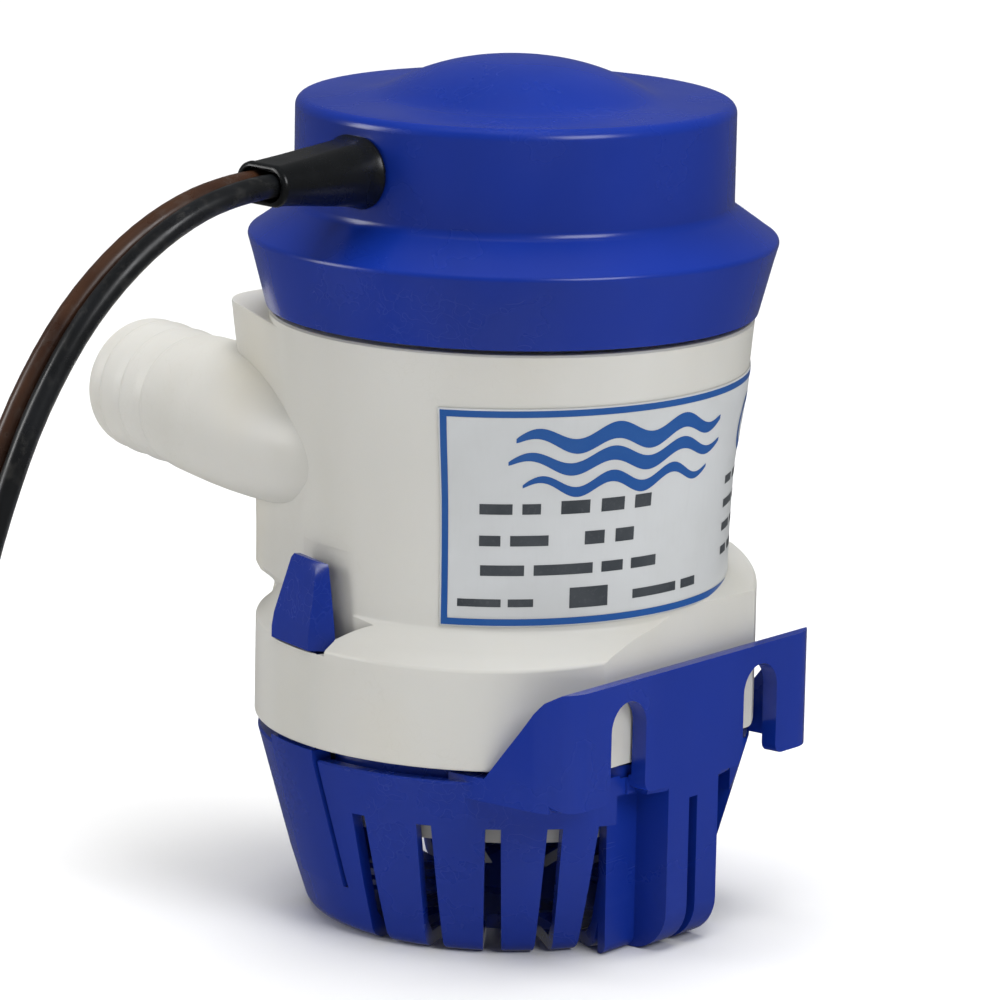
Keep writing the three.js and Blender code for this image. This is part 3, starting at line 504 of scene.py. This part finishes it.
def grained(name, base, spot, rough, scale=700.0, height=0.02):
    """A dull pressed or sintered material with visible grains."""
    n = Nodes(name)
    grains = n.noise(scale, 4.0, 0.65)
    slow = n.noise(55, 3.0)
    color = n.blend(n.range(grains, 0.0, 0.7, 0.45, 0.7), base, spot)
    color = n.blend(n.range(slow, 0.0, 0.3, 0.4, 0.7), color, spot)
    roughness = n.range(grains, rough - 0.08, rough + 0.08, 0.3, 0.7)
    surface = n.bump(grains, 0.35, height)
    return n.set(Base_Color=color, Roughness=roughness, Normal=surface)


BLUE = blue_plastic()
WHITE = white_plastic()
RUBBER = black_rubber()
LABEL = label_film()
BLUE_INK = ink("blue_ink", (0.003, 0.070, 0.29), (0.015, 0.11, 0.36))
GREY_INK = ink("grey_ink", (0.035, 0.042, 0.05), (0.14, 0.15, 0.16))
BLACK_LEAD = lead_skin("black_lead", (0.004, 0.0045, 0.005), (0.009, 0.010, 0.012))
BROWN_LEAD = lead_skin("brown_lead", (0.032, 0.013, 0.007), (0.055, 0.024, 0.012))


# ---------------------------------------------------------------- camera
def camera():
    """The photograph's viewpoint: a little above the pump, from the bracket's left."""
    data = bpy.data.cameras.new("camera")
    data.sensor_width = 36
    data.lens = 238.6
    data.clip_start = 0.05
    data.clip_end = 20
    view = bpy.data.objects.new("camera", data)
    bpy.context.scene.collection.objects.link(view)
    place = Vector((566.4, -724.9, 255.2)) * MM
    heading, fall, lean = radians(38.0 + 0.074), radians(12.037), radians(1.167)
    ahead = Vector((-sin(heading) * cos(fall), cos(heading) * cos(fall), -sin(fall)))
    right = ahead.cross(Vector((0, 0, 1))).normalized()
    over = right.cross(ahead)
    right_leaning = right * cos(lean) + over * sin(lean)
    over_leaning = right_leaning.cross(ahead)
    turn = Matrix((right_leaning, over_leaning, -ahead)).transposed()
    view.matrix_world = Matrix.Translation(place) @ turn.to_4x4()
    bpy.context.scene.camera = view


camera()

# ---------------------------------------------------------------- leads
LEAD_D = 3.3
LEAD_SPACING = 1.9
LEAD_ROUTE = [
    (-5.3, -43, 109.3),
    (-6, -52, 109.2),
    (-7.2, -61, 107.4),
    (-9, -70, 102.8),
    (-11.5, -78.5, 94.6),
    (-14, -85.5, 83),
    (-16.2, -90.6, 69),
    (-18.2, -94, 54),
    (-20, -96.2, 39),
    (-21.6, -97.6, 26),
]  # the middle of the pair, as in part.mjs
BROWN_TAIL = [(-23.6, -97.4, 20)]
BLACK_TAIL = [(-18.8, -97.3, 19), (-18.5, -97, 12)]
COIL_CENTRE = (-40.5, -111)
COIL_MEAN_R = 18.5
TURN_GAP = 3.4
# The bend of each lead into its coil, as (radius, bearing, height) about the coil's centre.
BROWN_BEND = [(21.8, 37, 16.6), (21.85, 31, 13.9), (21.9, 21, 12.7)]
BLACK_BEND = [(25.8, 31, 8.6), (25.4, 26, 6.2), (24.6, 16, 5.35), (23.2, -2, 5.2)]


def smooth_line(points, steps):
    """Points along a centripetal Catmull-Rom curve."""
    p = [Vector(q) for q in points]
    p = [p[0] * 2 - p[1], *p, p[-1] * 2 - p[-2]]
    line = []
    for i in range(1, len(p) - 2):
        knots = [0.0]
        for a, b in zip(p[i - 1 : i + 2], p[i : i + 3]):
            knots.append(knots[-1] + max((b - a).length, 1e-6) ** 0.5)
        t0, t1, t2, t3 = knots
        for k in range(steps):
            t = mix(t1, t2, k / steps)
            a1 = p[i - 1] * ((t1 - t) / (t1 - t0)) + p[i] * ((t - t0) / (t1 - t0))
            a2 = p[i] * ((t2 - t) / (t2 - t1)) + p[i + 1] * ((t - t1) / (t2 - t1))
            a3 = p[i + 1] * ((t3 - t) / (t3 - t2)) + p[i + 2] * ((t - t2) / (t3 - t2))
            b1 = a1 * ((t2 - t) / (t2 - t0)) + a2 * ((t - t0) / (t2 - t0))
            b2 = a2 * ((t3 - t) / (t3 - t1)) + a3 * ((t - t1) / (t3 - t1))
            line.append(b1 * ((t2 - t) / (t2 - t1)) + b2 * ((t - t1) / (t2 - t1)))
    line.append(p[-2])
    return line


def round_coil(r, angle, z):
    x, y = polar(r, angle)
    return (COIL_CENTRE[0] + x, COIL_CENTRE[1] + y, z)


def coil_turns(start, top):
    """Turns of one lead: inward across the upper layer, then outward across the lower one."""
    points = []
    per_turn = 28
    radii = [1, 0, -1, -1, 0, 1]
    for turn, shift in enumerate(radii):
        following = radii[min(turn + 1, 5)]
        for k in range(per_turn):
            t = k / per_turn
            move = smooth_step((t - 0.7) / 0.3)
            r = COIL_MEAN_R + TURN_GAP * mix(shift, following, move)
            drop = 0 if turn < 2 else TURN_GAP
            if turn == 2:
                drop = TURN_GAP * move
            points.append(round_coil(r, start - 360 * t, top - drop))
    return points


def lead(name, side, tail, bend, start, top, material, slot, nodes):
    """One free lead: out of the relief, down beside the pump and into its coil."""
    across = polar(LEAD_SPACING * side, RELIEF_ANGLE + 90)
    hanging = [(x + across[0], y + across[1], z) for x, y, z in LEAD_ROUTE]
    turning = [round_coil(*place) for place in bend]
    path = smooth_line([*hanging, *tail, *turning, *coil_turns(start, top)], 4)
    data = bpy.data.curves.new(name, "CURVE")
    data.dimensions = "3D"
    data.bevel_depth = LEAD_D / 2 * MM
    data.bevel_resolution = 5
    data.use_fill_caps = True
    spline = data.splines.new("POLY")
    spline.points.add(len(path) - 1)
    for point, p in zip(spline.points, path):
        point.co = (p.x * MM, p.y * MM, p.z * MM, 1)
    spline.use_smooth = True
    piece = bpy.data.objects.new(name, data)
    bpy.context.scene.collection.objects.link(piece)
    finish_piece(piece, "pump", slot, material, *nodes)


lead(
    "black_lead_coiled", 1, BLACK_TAIL, BLACK_BEND, -24, 5.15,
    BLACK_LEAD, "black_lead", ["lead_black", "coil_black"],
)
lead(
    "brown_lead_coiled", -1, BROWN_TAIL, BROWN_BEND, 8, 12.5,
    BROWN_LEAD, "brown_lead", ["lead_brown", "coil_brown"],
)


# ---------------------------------------------------------------- motor cap
def motor_cap():
    edge = [
        *arc(34.5, 87.4, 0.3, 180, 360, 4),
        *[(34.8 + 2.5 * t, 87.4 + 9.5 * t) for t in (0.25, 0.5, 0.75)],
        *arc(36.55, 97.15, 0.85, -10, 66, 7),
        *[(mix(36.9, 32.3, t), mix(97.93, 101.2, t)) for t in (0.3, 0.6, 0.9)],
        *arc(32.6, 102.9, 1.6, 235, 180, 5),
        (CAP_R, 106),
        (CAP_R, 111),
        *arc(CAP_R - CAP_ROUND, CAP_TOP - CAP_ROUND, CAP_ROUND, 0, 82, 8),
    ]
    crown = []  # the gently crowned top, with the dome rising from it
    for i in range(1, 33):
        r = (CAP_R - CAP_ROUND) * (1 - i / 32)
        height = DOME_RISE * (1 - (r / DOME_R) ** 2.3)
        rise = (height + sqrt(height**2 + DOME_FOOT**2)) / 2
        crown.append((r, CAP_TOP + CROWN * (1 - (r / CAP_R) ** 2) + rise))
    inside = [(0, 114.8), (28.8, 114.2), (28.8, 97.4), (32.1, 97.4), (32.1, 87.4), (32.4, 87.1)]
    piece = turned("cap_shell", [*inside, *edge, *crown])
    hole = oval_bar("cap_hole", [(24, 5.2, 4.2), (40, 5.2, 4.2)])
    combine(piece, [hole], "DIFFERENCE")
    shade(piece, 40)
    return finish_piece(piece, "pump", "blue_plastic", BLUE, "motor_cap")


def oval_bar(name, stations, steps=32):
    """A flat-oval bar along the relief's axis, from (distance, half width, half height)."""
    rings = []
    for distance, half_width, half_height in stations:
        flat = half_width - half_height
        ring = []
        for i in range(steps):
            angle = 2 * pi * (i + 0.5) / steps
            c, s = cos(angle), sin(angle)
            sideways = half_height * c + (flat if c > 0 else -flat)
            ring.append((distance, sideways, half_height * s + RELIEF_Z))
        rings.append(ring)
    return spin(loft(name, rings), RELIEF_ANGLE)


def strain_relief():
    outside = oval_bar(
        "relief_boot",
        [
            (25.6, 6.2, 4.6),
            (27.6, 6.2, 4.6),
            (27.61, 4.9, 3.8),
            (30.6, 4.9, 3.8),
            (30.7, 5.9, 4.9),
            (31.2, 6.2, 5.1),
            (31.9, 5.9, 4.7),
            (33, 5.75, 4.45),
            (38, 5.5, 3.85),
            (43, 5.2, 3.25),
            (47.2, 4.95, 2.85),
            (47.9, 5.05, 2.95),
            (48.4, 4.95, 2.85),
            (RELIEF_END, 4.6, 2.5),
        ],
        steps=40,
    )
    mouth = oval_bar("relief_mouth", [(43, 4.0, 2.1), (RELIEF_END + 1, 4.05, 2.15)], steps=40)
    combine(outside, [mouth], "DIFFERENCE")
    soften(outside, 0.25, 40)
    return finish_piece(outside, "pump", "black_rubber", RUBBER, "strain_relief")


motor_cap()
strain_relief()


# ---------------------------------------------------------------- pump housing
def riser_radius(body_r, angle):
    """Plan outline of the body joined by tangents to the round nose of the riser."""
    turn = abs((angle - RISER_ANGLE + 180) % 360 - 180)
    centre = RISER_FOOT + RISER_FLARE * (body_r - BODY[0][0])
    meet = degrees(acos((body_r - RISER_ROUND) / centre))
    if turn >= meet:
        return body_r
    nose = degrees(
        atan2(RISER_ROUND * sin(radians(meet)), centre + RISER_ROUND * cos(radians(meet)))
    )
    if turn > nose:
        return body_r / cos(radians(meet - turn))
    return centre * cos(radians(turn)) + sqrt(RISER_ROUND**2 - (centre * sin(radians(turn))) ** 2)


def round_the_volute(angle, start, rise):
    """A height that climbs from its start to the riser and drops back behind it."""
    from_start = (angle - start) % 360
    span = RAMP_END - start
    if from_start <= span:
        return rise(from_start)
    return rise(span) * (1 - smooth_step((from_start - span) / 10))


def flange_top(angle):
    """Where the sloping top of the flange meets the body."""
    return FLANGE_TOP + round_the_volute(angle, RAMP_START, lambda turn: RAMP_PER_DEGREE * turn)


def flange_edge(angle):
    """The outer crease of the flange's top, easing into its climb."""

    def rise(turn):
        ease = min(turn, 45)
        return EDGE_PER_DEGREE * (ease**2 / 90 + turn - ease)

    return EDGE_Z + round_the_volute(angle, EDGE_START, rise)


def riser_bulge(wall, angle, above):
    """The riser's outline, drawn in a little where it stands on the flange."""
    return riser_radius(wall, angle) - 0.6 * (1 - smooth_step(above / 1.3))


def housing_section(angle):
    """The housing's outline at one bearing, from the bottom of the flange up and back down."""
    top, edge = flange_top(angle), flange_edge(angle)
    points = [(27.6, FLANGE_BOTTOM + 0.3), (27.9, FLANGE_BOTTOM)]
    points += arc(FLANGE_R - 0.45, FLANGE_BOTTOM + 0.45, 0.45, -90, 0, 3)
    points += [(FLANGE_R, mix(FLANGE_BOTTOM, edge, t)) for t in (0.3, 0.6)]
    slope = degrees(atan2(FLANGE_R - 32.2, top - edge))
    points += arc(FLANGE_R - 0.9, edge - 0.7, 0.9, 0, slope, 5)
    points += [(mix(FLANGE_R - 0.9, 32.2, t), mix(edge + 0.15, top, t)) for t in (0.25, 0.5, 0.75)]
    points += [(32.0, top + 0.16), (31.7, top + 0.42), (along(BODY, top + 0.9) + 0.08, top + 0.86)]
    low, high = top + 1.2, RISER_TOP - 0.4
    points += [(along(BODY, mix(low, high, i / 22)), mix(low, high, i / 22)) for i in range(23)]
    shaped = []
    for r, z in points:
        wall = along(BODY, z)
        if z > top and r < wall + 1.2:
            r = max(r, riser_bulge(wall, angle, z - top))
        shaped.append((r, z))
    wall = along(BODY, RISER_TOP)
    step = riser_radius(wall, angle) - wall
    shaped += [(wall + step - min(0.12, step), RISER_TOP - 0.1), (wall + max(step - 0.5, 0), RISER_TOP)]
    shaped += [(wall + 0.01, RISER_TOP + 0.05)]
    shaped += [(34.3, BODY_TOP - 0.3), (34.0, BODY_TOP), (31.5, BODY_TOP)]
    shaped += [(31.5, MOTOR_BAY_TOP), (28.2, MOTOR_BAY_TOP)]
    shaped += [(28.2, 48.5), (9, 48.5), (9, 45.5), (27.6, 45.5)]
    return shaped


def nozzle_piece(name, profile, steps=96):
    piece = turned(name, profile, steps=steps)
    x, y = polar(NOZZLE_OFFSET, NOZZLE_ANGLE + 90)
    lay = Matrix.Rotation(radians(NOZZLE_ANGLE), 4, "Z") @ Matrix.Rotation(pi / 2, 4, "Y")
    piece.data.transform(Matrix.Translation(Vector((x, y, NOZZLE_Z)) * MM) @ lay)
    return piece


def nozzle():
    """The hose barb: a root faired into the body, three shallow grooves and a rounded lip."""
    root = [(5.4, 0), (6.8, 2.6), (7.9, 5.6), (8.8, 9.2), (9.5, 13.4), (10.0, 18), (10.3, 23)]
    outside = [*root, (10.42, 28), (10.4, 33), (10.25, 38), (10.1, 42)]
    for groove in (45.2, 51.4, 57.3):
        outside += [(9.95, groove - 1.6), (9.85, groove - 0.9), (9.35, groove - 0.25)]
        outside += [(9.3, groove + 0.15), (9.6, groove + 0.8), (9.78, groove + 1.9)]
    outside += arc(8.9, NOZZLE_END - 0.85, 0.85, 20, 90, 4)
    inside = [*arc(8.3, NOZZLE_END - 0.7, 0.7, 100, 180, 3), (7.5, 50), (7.3, 26), (0, 26)]
    piece = nozzle_piece("nozzle_barb", [(0, 0), *outside, *inside])
    bay = turned("bay", [(0, 40), (29.4, 40), (29.4, MOTOR_BAY_TOP), (0, MOTOR_BAY_TOP)])
    combine(piece, [bay], "DIFFERENCE")
    shade(piece, 50)
    return finish_piece(piece, "pump", "white_plastic", WHITE)


def latch_way(angle):
    """The hole through the flange for a latch's neck, and the shallow recess behind its hook."""
    recess = [(31, -5.6), (40, -5.6), (40, 7.8), (33, 7.8), (29.4, 12.2), (30.2, 8.4), (31, 4)]
    hole = block("way", 31, 34.9, -5.6, 6.3, FLANGE_BOTTOM - 1, 56)
    combine(hole, [prism("recess", recess, 41.7, 56)], "UNION")
    return spin(hole, angle)


def pump_housing():
    steps = 256
    rings = [housing_section(360 * i / steps) for i in range(steps)]
    vertices = []
    for i, section in enumerate(rings):
        vertices += [(*polar(r, 360 * i / steps), z) for r, z in section]
    faces = grid_faces(steps, len(rings[0]), True, True)
    piece = mesh_object("housing_shell", vertices, faces)
    behind_plate = block("behind_plate", 31.2, 45, -40, 40, 20, 48.9)
    bore = nozzle_piece("bore", [(0, 17), (7.5, 17), (7.5, 45), (0, 45)], 64)
    combine(piece, [behind_plate, bore, *[latch_way(a) for a in LATCHES.values()]], "DIFFERENCE")
    shade(piece, 38)
    return finish_piece(piece, "pump", "white_plastic", WHITE, "pump_housing")


pump_housing()
nozzle()


# ---------------------------------------------------------------- strainer base
def wall_radius(z):
    return RIM_R - TAPER * (RIM_Z - z)


def strainer_slot(angle):
    outline = [(-1.3, -1), (1.3, -1), (1.1, 19.5), (-1.1, 19.5)]
    return spin(bar("slot", outline, 14, 40), angle)


def bracket_band(inset):
    """Plan outline of the bracket: the flat plate and the round turns into its two sides."""
    x, y = PLATE_X - inset, PLATE_HALF - inset
    r = 5.5 - min(inset, 4.5)
    return [(14, -y), *arc(x - r, r - y, r, -90, 0, 10), *arc(x - r, y - r, r, 0, 90, 10), (14, y)]


def bracket():
    wall = prism("bracket", [*bracket_band(0), *reversed(bracket_band(2.4))], PLATE_BOTTOM, PLATE_TOP)
    slope = [(10, 27.4), (20.2, 27.4), (23.2, 31.2), (26.6, 35.4)]
    slope += [(28.6, 38), (30.2, 39.7), (32.4, 40.95)]
    above = slab("above", [*slope, (32.4, 44), (10, 44)], -40, 40)
    return combine(wall, [above], "DIFFERENCE")


def screw_slot(side):
    middle, r, top = side * SCREW_OFFSET, SCREW_R, SCREW_TOP
    outline = [(middle - r, 18), (middle + r, 18), *arc(middle, top - r, r, 0, 180, 16)]
    return bar("screw_slot", outline, 30.6, 36)


def lower_corner(y, z, inward, r):
    """What rounds off a lower corner of the bracket plate at (y, z)."""
    start, end = (180, 270) if inward > 0 else (0, -90)
    turn = arc(y + inward * r, z + r, r, start, end, 8)
    outline = [(y - inward * 2, z + r), *turn, (y + inward * r, z - 2), (y - inward * 2, z - 2)]
    return bar("lower_corner", outline, 31, 36)


def strainer_base():
    cup = turned(
        "strainer_cup",
        [
            (0, 0),
            (24, 0),
            *arc(25.2, 3, 3, -90, -16, 8),
            (wall_radius(9), 9),
            (wall_radius(18), 18),
            (RIM_R - 0.1, RIM_Z - 0.3),
            (RIM_R - 0.4, RIM_Z),
            (RIM_R - WALL, RIM_Z),
            (wall_radius(4) - WALL, 4),
            (wall_radius(2) - WALL - 1.2, 2),
            (0, 2),
        ],
        steps=160,
    )
    shelf = block("shelf", 26.5, 31.6, -PILLAR_HALF, PILLAR_HALF, 23.6, 26)
    lip = turned("lip", [(30.7, 24), (32.2, 24), (32.2, 27.7), (30.7, 27.7)])
    combine(cup, [bracket(), shelf, lip], "UNION")
    pockets = [
        block("pocket", 26.5, 40, SPINE_HALF, PILLAR_HALF, -1, 23.6),
        block("pocket", 26.5, 40, -PILLAR_HALF, -SPINE_HALF, -1, 23.6),
        block("side", 26.5, 40, 12.7, 14.4, -1, 19.5),
        block("side", 26.5, 40, -14.4, -12.7, -1, 19.5),
    ]
    combine(cup, pockets, "DIFFERENCE")
    front = [(22, 0), *arc(PLATE_X - 6, 6, 6, -90, 0, 10), (PLATE_X, 25.2), (22, 25.2)]
    column = [(26.5, 0), *arc(26.9, 1.6, 1.6, -90, 0, 6), (28.5, 26), (26.5, 26)]
    posts = [
        slab("spine", front, -SPINE_HALF, SPINE_HALF),
        slab("pillar", column, 5.4, PILLAR_HALF),
        slab("pillar", column, -PILLAR_HALF, -5.4),
    ]
    combine(cup, posts, "UNION")
    back = [105 + 16.5 * i for i in range(8)]
    angles = [26, -26, 39, -39, 54, -54, 89, -89, -71, *back]
    cuts = [strainer_slot(a) for a in angles]
    cuts.append(block("spine_hollow", 20, 31.6, -3.6, 3.6, 2, 22))
    cuts.append(block("spine_slot", 24, 36, -0.95, 0.95, -1, 21.7))
    cuts += [screw_slot(1), screw_slot(-1)]
    cuts.append(block("flange_way", 20, 31.6, -27.2, 27.2, 27.6, 44))
    cuts.append(block("plate_face", PLATE_X, 37, -13, 13, -1, 28))
    for side in (1, -1):
        cuts.append(lower_corner(side * PLATE_HALF, PLATE_BOTTOM, -side, 3.0))
        cuts.append(lower_corner(side * (SCREW_OFFSET + SCREW_R), PLATE_BOTTOM, side, 1.4))
        cuts.append(lower_corner(side * (SCREW_OFFSET - SCREW_R), PLATE_BOTTOM, -side, 1.8))
    for angle in LATCHES.values():
        cuts.append(spin(block("latch_window", 20, 39, -WINDOW_HALF, WINDOW_HALF, 7.35, 29), angle))
    combine(cup, cuts, "DIFFERENCE")
    soften(cup, 0.28, 34)
    return finish_piece(cup, "base", "blue_plastic", BLUE, "strainer_base")


# ---------------------------------------------------------------- latches
def latch(name, angle):
    """A springy arm flush in the strainer wall, a neck, and the wedge hook above the flange."""
    rows = [mix(ARM_FOOT, ARM_TOP, i / 12) for i in range(13)]
    columns = [mix(-ARM_HALF, ARM_HALF, k / 14) for k in range(15)]
    rings = []
    for z in rows:
        out = wall_radius(z) + 0.35 - (0.25 if z > 27 else 0)
        lean = 0.9 if z > 20 else 0
        front = [(sqrt(out**2 - y * y), y, z) for y in columns]
        rear = [(sqrt((out - 2.1 - lean) ** 2 - y * y), y, z) for y in reversed(columns)]
        rings.append(front + rear)
    arm = loft(name + "_arm", rings)
    neck = block("neck", 32.4, 34.4, -5, 5, 26, 43.5)
    hook_rings = []
    for z, out, left, right in [
        (HOOK_Z, 35.7, -5.0, 7.2),
        (43.6, 35.7, -5.0, 7.2),
        (45.6, 35.4, -4.9, 7.0),
        (48.0, 34.9, -4.4, 6.7),
        (51.0, 34.3, -3.7, 6.3),
        (53.6, 33.8, -3.1, 5.9),
        (HOOK_TOP, 33.5, -2.8, 5.7),
    ]:
        inner = mix(32.2, 32.7, (z - HOOK_Z) / (HOOK_TOP - HOOK_Z))
        corner = right - 2.2
        hook_rings.append(
            [(inner, left + 0.3, z), (out, left, z), (out, 0, z), (out, corner, z), (inner + 0.3, right, z)]
        )
    hook = loft("hook", hook_rings)
    combine(arm, [neck, hook], "UNION")
    soften(arm, 0.35, 28, 3)
    spin(arm, angle)
    return finish_piece(arm, name, "blue_plastic", BLUE, name)


strainer_base()
for latch_name, latch_angle in LATCHES.items():
    latch(latch_name, latch_angle)


# ---------------------------------------------------------------- label
def printed_point(u, v, lift=0.22):
    """A point on the label, u millimetres along it and v up it from its lower left corner."""
    z = LABEL_BOTTOM + v + u * LABEL_LEAN
    angle = LABEL_START + degrees(u / LABEL_RADIUS)
    return (*polar(along(BODY, z) + lift, angle), z)


class Print:
    """Flat printed shapes of one ink, gathered into one thin piece."""

    def __init__(self):
        self.vertices = []
        self.faces = []

    def ribbon(self, lower, upper):
        """A band between two rows of (u, v) points."""
        first = len(self.vertices)
        count = len(lower)
        self.vertices += [printed_point(u, v) for u, v in [*lower, *upper]]
        self.faces += [
            (first + k, first + k + 1, first + count + k + 1, first + count + k)
            for k in range(count - 1)
        ]

    def bar(self, u0, u1, v0, v1):
        steps = max(1, ceil((u1 - u0) / 1.2))
        rows = max(1, ceil((v1 - v0) / 2.5))
        across = [mix(u0, u1, k / steps) for k in range(steps + 1)]
        for i in range(rows):
            low, high = mix(v0, v1, i / rows), mix(v0, v1, (i + 1) / rows)
            self.ribbon([(u, low) for u in across], [(u, high) for u in across])

    def words(self, u, v, height, widths):
        """A line of type stood for by plain bars of these widths."""
        for width in widths:
            self.bar(u, u + width, v, v + height)
            u += width + 0.9 * height

    def ring(self, u, v, radius, thickness):
        turn = [360 * k / 36 for k in range(37)]
        inner = [(u + polar(radius - thickness, a)[0], v + polar(radius - thickness, a)[1]) for a in turn]
        outer = [(u + polar(radius, a)[0], v + polar(radius, a)[1]) for a in turn]
        self.ribbon(inner, outer)

    def wave(self, u0, u1, v, swing, thickness, crests):
        """A wave line that thins out towards both ends."""
        steps = 90
        lower, upper = [], []
        for k in range(steps + 1):
            t = k / steps
            middle = v + swing * sin(2 * pi * crests * t)
            half = thickness / 2 * (0.25 + 0.75 * sin(pi * t) ** 0.6 if 0 < t < 1 else 0.25)
            lower.append((mix(u0, u1, t), middle - half))
            upper.append((mix(u0, u1, t), middle + half))
        self.ribbon(lower, upper)

    def piece(self, name, ink_material):
        made = mesh_object(name, self.vertices, self.faces, ink_material)
        return finish_piece(made, "pump", "label_film", ink_material)


def label():
    """A plain sheet with a blue border, three wave lines, and bars where small type would be."""
    width = radians(LABEL_END - LABEL_START) * LABEL_RADIUS
    height = LABEL_TOP - LABEL_BOTTOM
    columns, rows = 100, 18
    across = [mix(0, width, k / columns) for k in range(columns + 1)]
    up = [mix(0, height - 1.2, i / rows) for i in range(rows + 1)]
    outer = [printed_point(u, v, 0.19) for v in up for u in across]
    inner = [printed_point(u, v, 0.04) for v in up for u in across]
    count = columns + 1
    front = grid_faces(rows + 1, count)
    back = [tuple(len(outer) + v for v in reversed(f)) for f in front]
    border = list(range(count))
    border += [i * count + columns for i in range(1, rows + 1)]
    border += [rows * count + k for k in range(columns - 1, -1, -1)]
    border += [i * count for i in range(rows - 1, 0, -1)]
    pairs = zip(border, border[1:] + border[:1])
    sides = [(b, a, len(outer) + a, len(outer) + b) for a, b in pairs]
    sheet = mesh_object("label_sheet", outer + inner, front + back + sides)
    finish_piece(sheet, "pump", "label_film", LABEL, "label")
    top = height - 1.2
    blue = Print()
    line, edge = 0.95, 0.25
    blue.bar(edge, width - edge, edge, edge + line)
    blue.bar(edge, width - edge, top - edge - line, top - edge)
    blue.bar(edge, edge + line, edge + line, top - edge - line)
    blue.bar(width - edge - line, width - edge, edge + line, top - edge - line)
    for k, (start, end, thick) in enumerate([(10.5, 44, 2.5), (9.5, 44.5, 2.1), (11.5, 42, 1.7)]):
        blue.wave(start, end, 26.6 - 3.3 * k, 1.0, thick, 3)
    blue.ring(57, 23.5, 4.2, 1.3)
    blue.piece("label_print_blue", BLUE_INK)
    grey = Print()
    grey.words(5.6, 16.0, 1.5, [4.6, 2.6])
    grey.words(17.0, 15.9, 1.9, [4.2, 3.6, 2.8])
    grey.words(5.6, 11.5, 1.5, [3.0, 5.4])
    grey.words(20.6, 11.4, 1.9, [3.0, 3.0])
    grey.words(5.8, 7.3, 1.5, [6.2, 8.6, 3.4, 4.4])
    grey.words(2.6, 2.9, 1.1, [6.2, 3.6])
    grey.bar(18.6, 24.4, 2.5, 5.4)
    grey.words(28.5, 3.0, 1.3, [8.2, 3.4])
    for row, widths in enumerate([[3.4, 4.4], [5.6, 2.2], [4.4, 2.6], [3.0, 5.0]]):
        grey.words(50.0, 15.6 - 3.4 * row, 1.2, widths)
    grey.piece("label_print_grey", GREY_INK)


label()


# ---------------------------------------------------------------- carried-over inner parts
STEEL = metal("plated_steel", (0.62, 0.63, 0.64), (0.42, 0.41, 0.38), 0.30)
CORE = metal("lamination_steel", (0.38, 0.39, 0.41), (0.22, 0.21, 0.20), 0.42, (1, 1, 40))
COPPER = metal("enamelled_copper", (0.72, 0.30, 0.13), (0.46, 0.17, 0.07), 0.26, (1, 1, 30))
BRASS = metal("bright_brass", (0.78, 0.56, 0.24), (0.55, 0.38, 0.16), 0.26)
FERRITE = grained("sintered_ferrite", (0.035, 0.035, 0.038), (0.085, 0.083, 0.082), 0.62)
CARBON = grained("brush_carbon", (0.012, 0.012, 0.013), (0.05, 0.045, 0.04), 0.7)
NYLON = grained("natural_nylon", (0.62, 0.58, 0.46), (0.70, 0.67, 0.57), 0.45, 260.0, 0.01)
DISC = grained("dipped_ceramic", (0.42, 0.17, 0.035), (0.55, 0.25, 0.06), 0.32, 180.0, 0.02)

BY_SLOT = {
    "white_plastic": WHITE,
    "blue_plastic": BLUE,
    "black_rubber": RUBBER,
    "black_lead": BLACK_LEAD,
    "brown_lead": BROWN_LEAD,
    "label_film": LABEL,
    "steel": STEEL,
    "core_steel": CORE,
    "ferrite": FERRITE,
    "copper": COPPER,
    "brass": BRASS,
    "carbon": CARBON,
    "nylon": NYLON,
    "ceramic_disc": DISC,
}


def dress_cad_nodes():
    for part in frame["record"]["subparts"]:
        piece = frame["nodes"][part["node"]]
        if piece.hide_render:
            continue
        piece.data.materials.clear()
        piece.data.materials.append(BY_SLOT[part["material_slot"]])


dress_cad_nodes()


# ---------------------------------------------------------------- stage
def floor():
    """A pale floor, left out of reflections so that the blue plastic keeps its depth."""
    n = Nodes("floor")
    tone = n.ramp(n.noise(3, 4.0, 0.5), (0.3, (0.86, 0.86, 0.86)), (0.7, (0.89, 0.89, 0.89)))
    n.set(Base_Color=tone, Roughness=0.6)
    corners = [(x, y, -0.05) for x, y in ((-9000, -9000), (9000, -9000), (9000, 9000), (-9000, 9000))]
    ground = mesh_object("floor", corners, [(0, 1, 2, 3)], n.material)
    ground.visible_glossy = False


def soft_light(name, place, target, size, power, tint=(1, 1, 1), gloss=True):
    data = bpy.data.lights.new(name, "AREA")
    data.shape = "RECTANGLE"
    data.size, data.size_y = size
    data.energy = power
    data.color = tint
    lamp = bpy.data.objects.new(name, data)
    bpy.context.scene.collection.objects.link(lamp)
    lamp.location = place
    lamp.visible_glossy = gloss
    toward = Vector(target) - Vector(place)
    lamp.rotation_euler = toward.to_track_quat("-Z", "Y").to_euler()


def world():
    made = bpy.data.worlds.new("studio")
    bpy.context.scene.world = made
    made.use_nodes = True
    made.node_tree.nodes["Background"].inputs["Color"].default_value = (1, 1, 1, 1)
    made.node_tree.nodes["Background"].inputs["Strength"].default_value = 0.14


floor()
world()
soft_light("top", (0.05, 0.0, 1.2), (0, 0, 0.05), (1.0, 1.0), 17.2, gloss=False)
soft_light("backdrop", (-1.0, 1.25, 0.9), (-1.0, 1.2, 0), (1.2, 1.2), 13, gloss=False)
soft_light("key", (0.9, -0.2, 0.7), (0, 0, 0.06), (0.5, 0.5), 5.3, (0.97, 0.98, 1.0))
soft_light("side", (-0.8, -0.75, 0.4), (0, 0, 0.07), (0.35, 0.6), 4.6)
bpy.context.scene.view_settings.view_transform = "Standard"
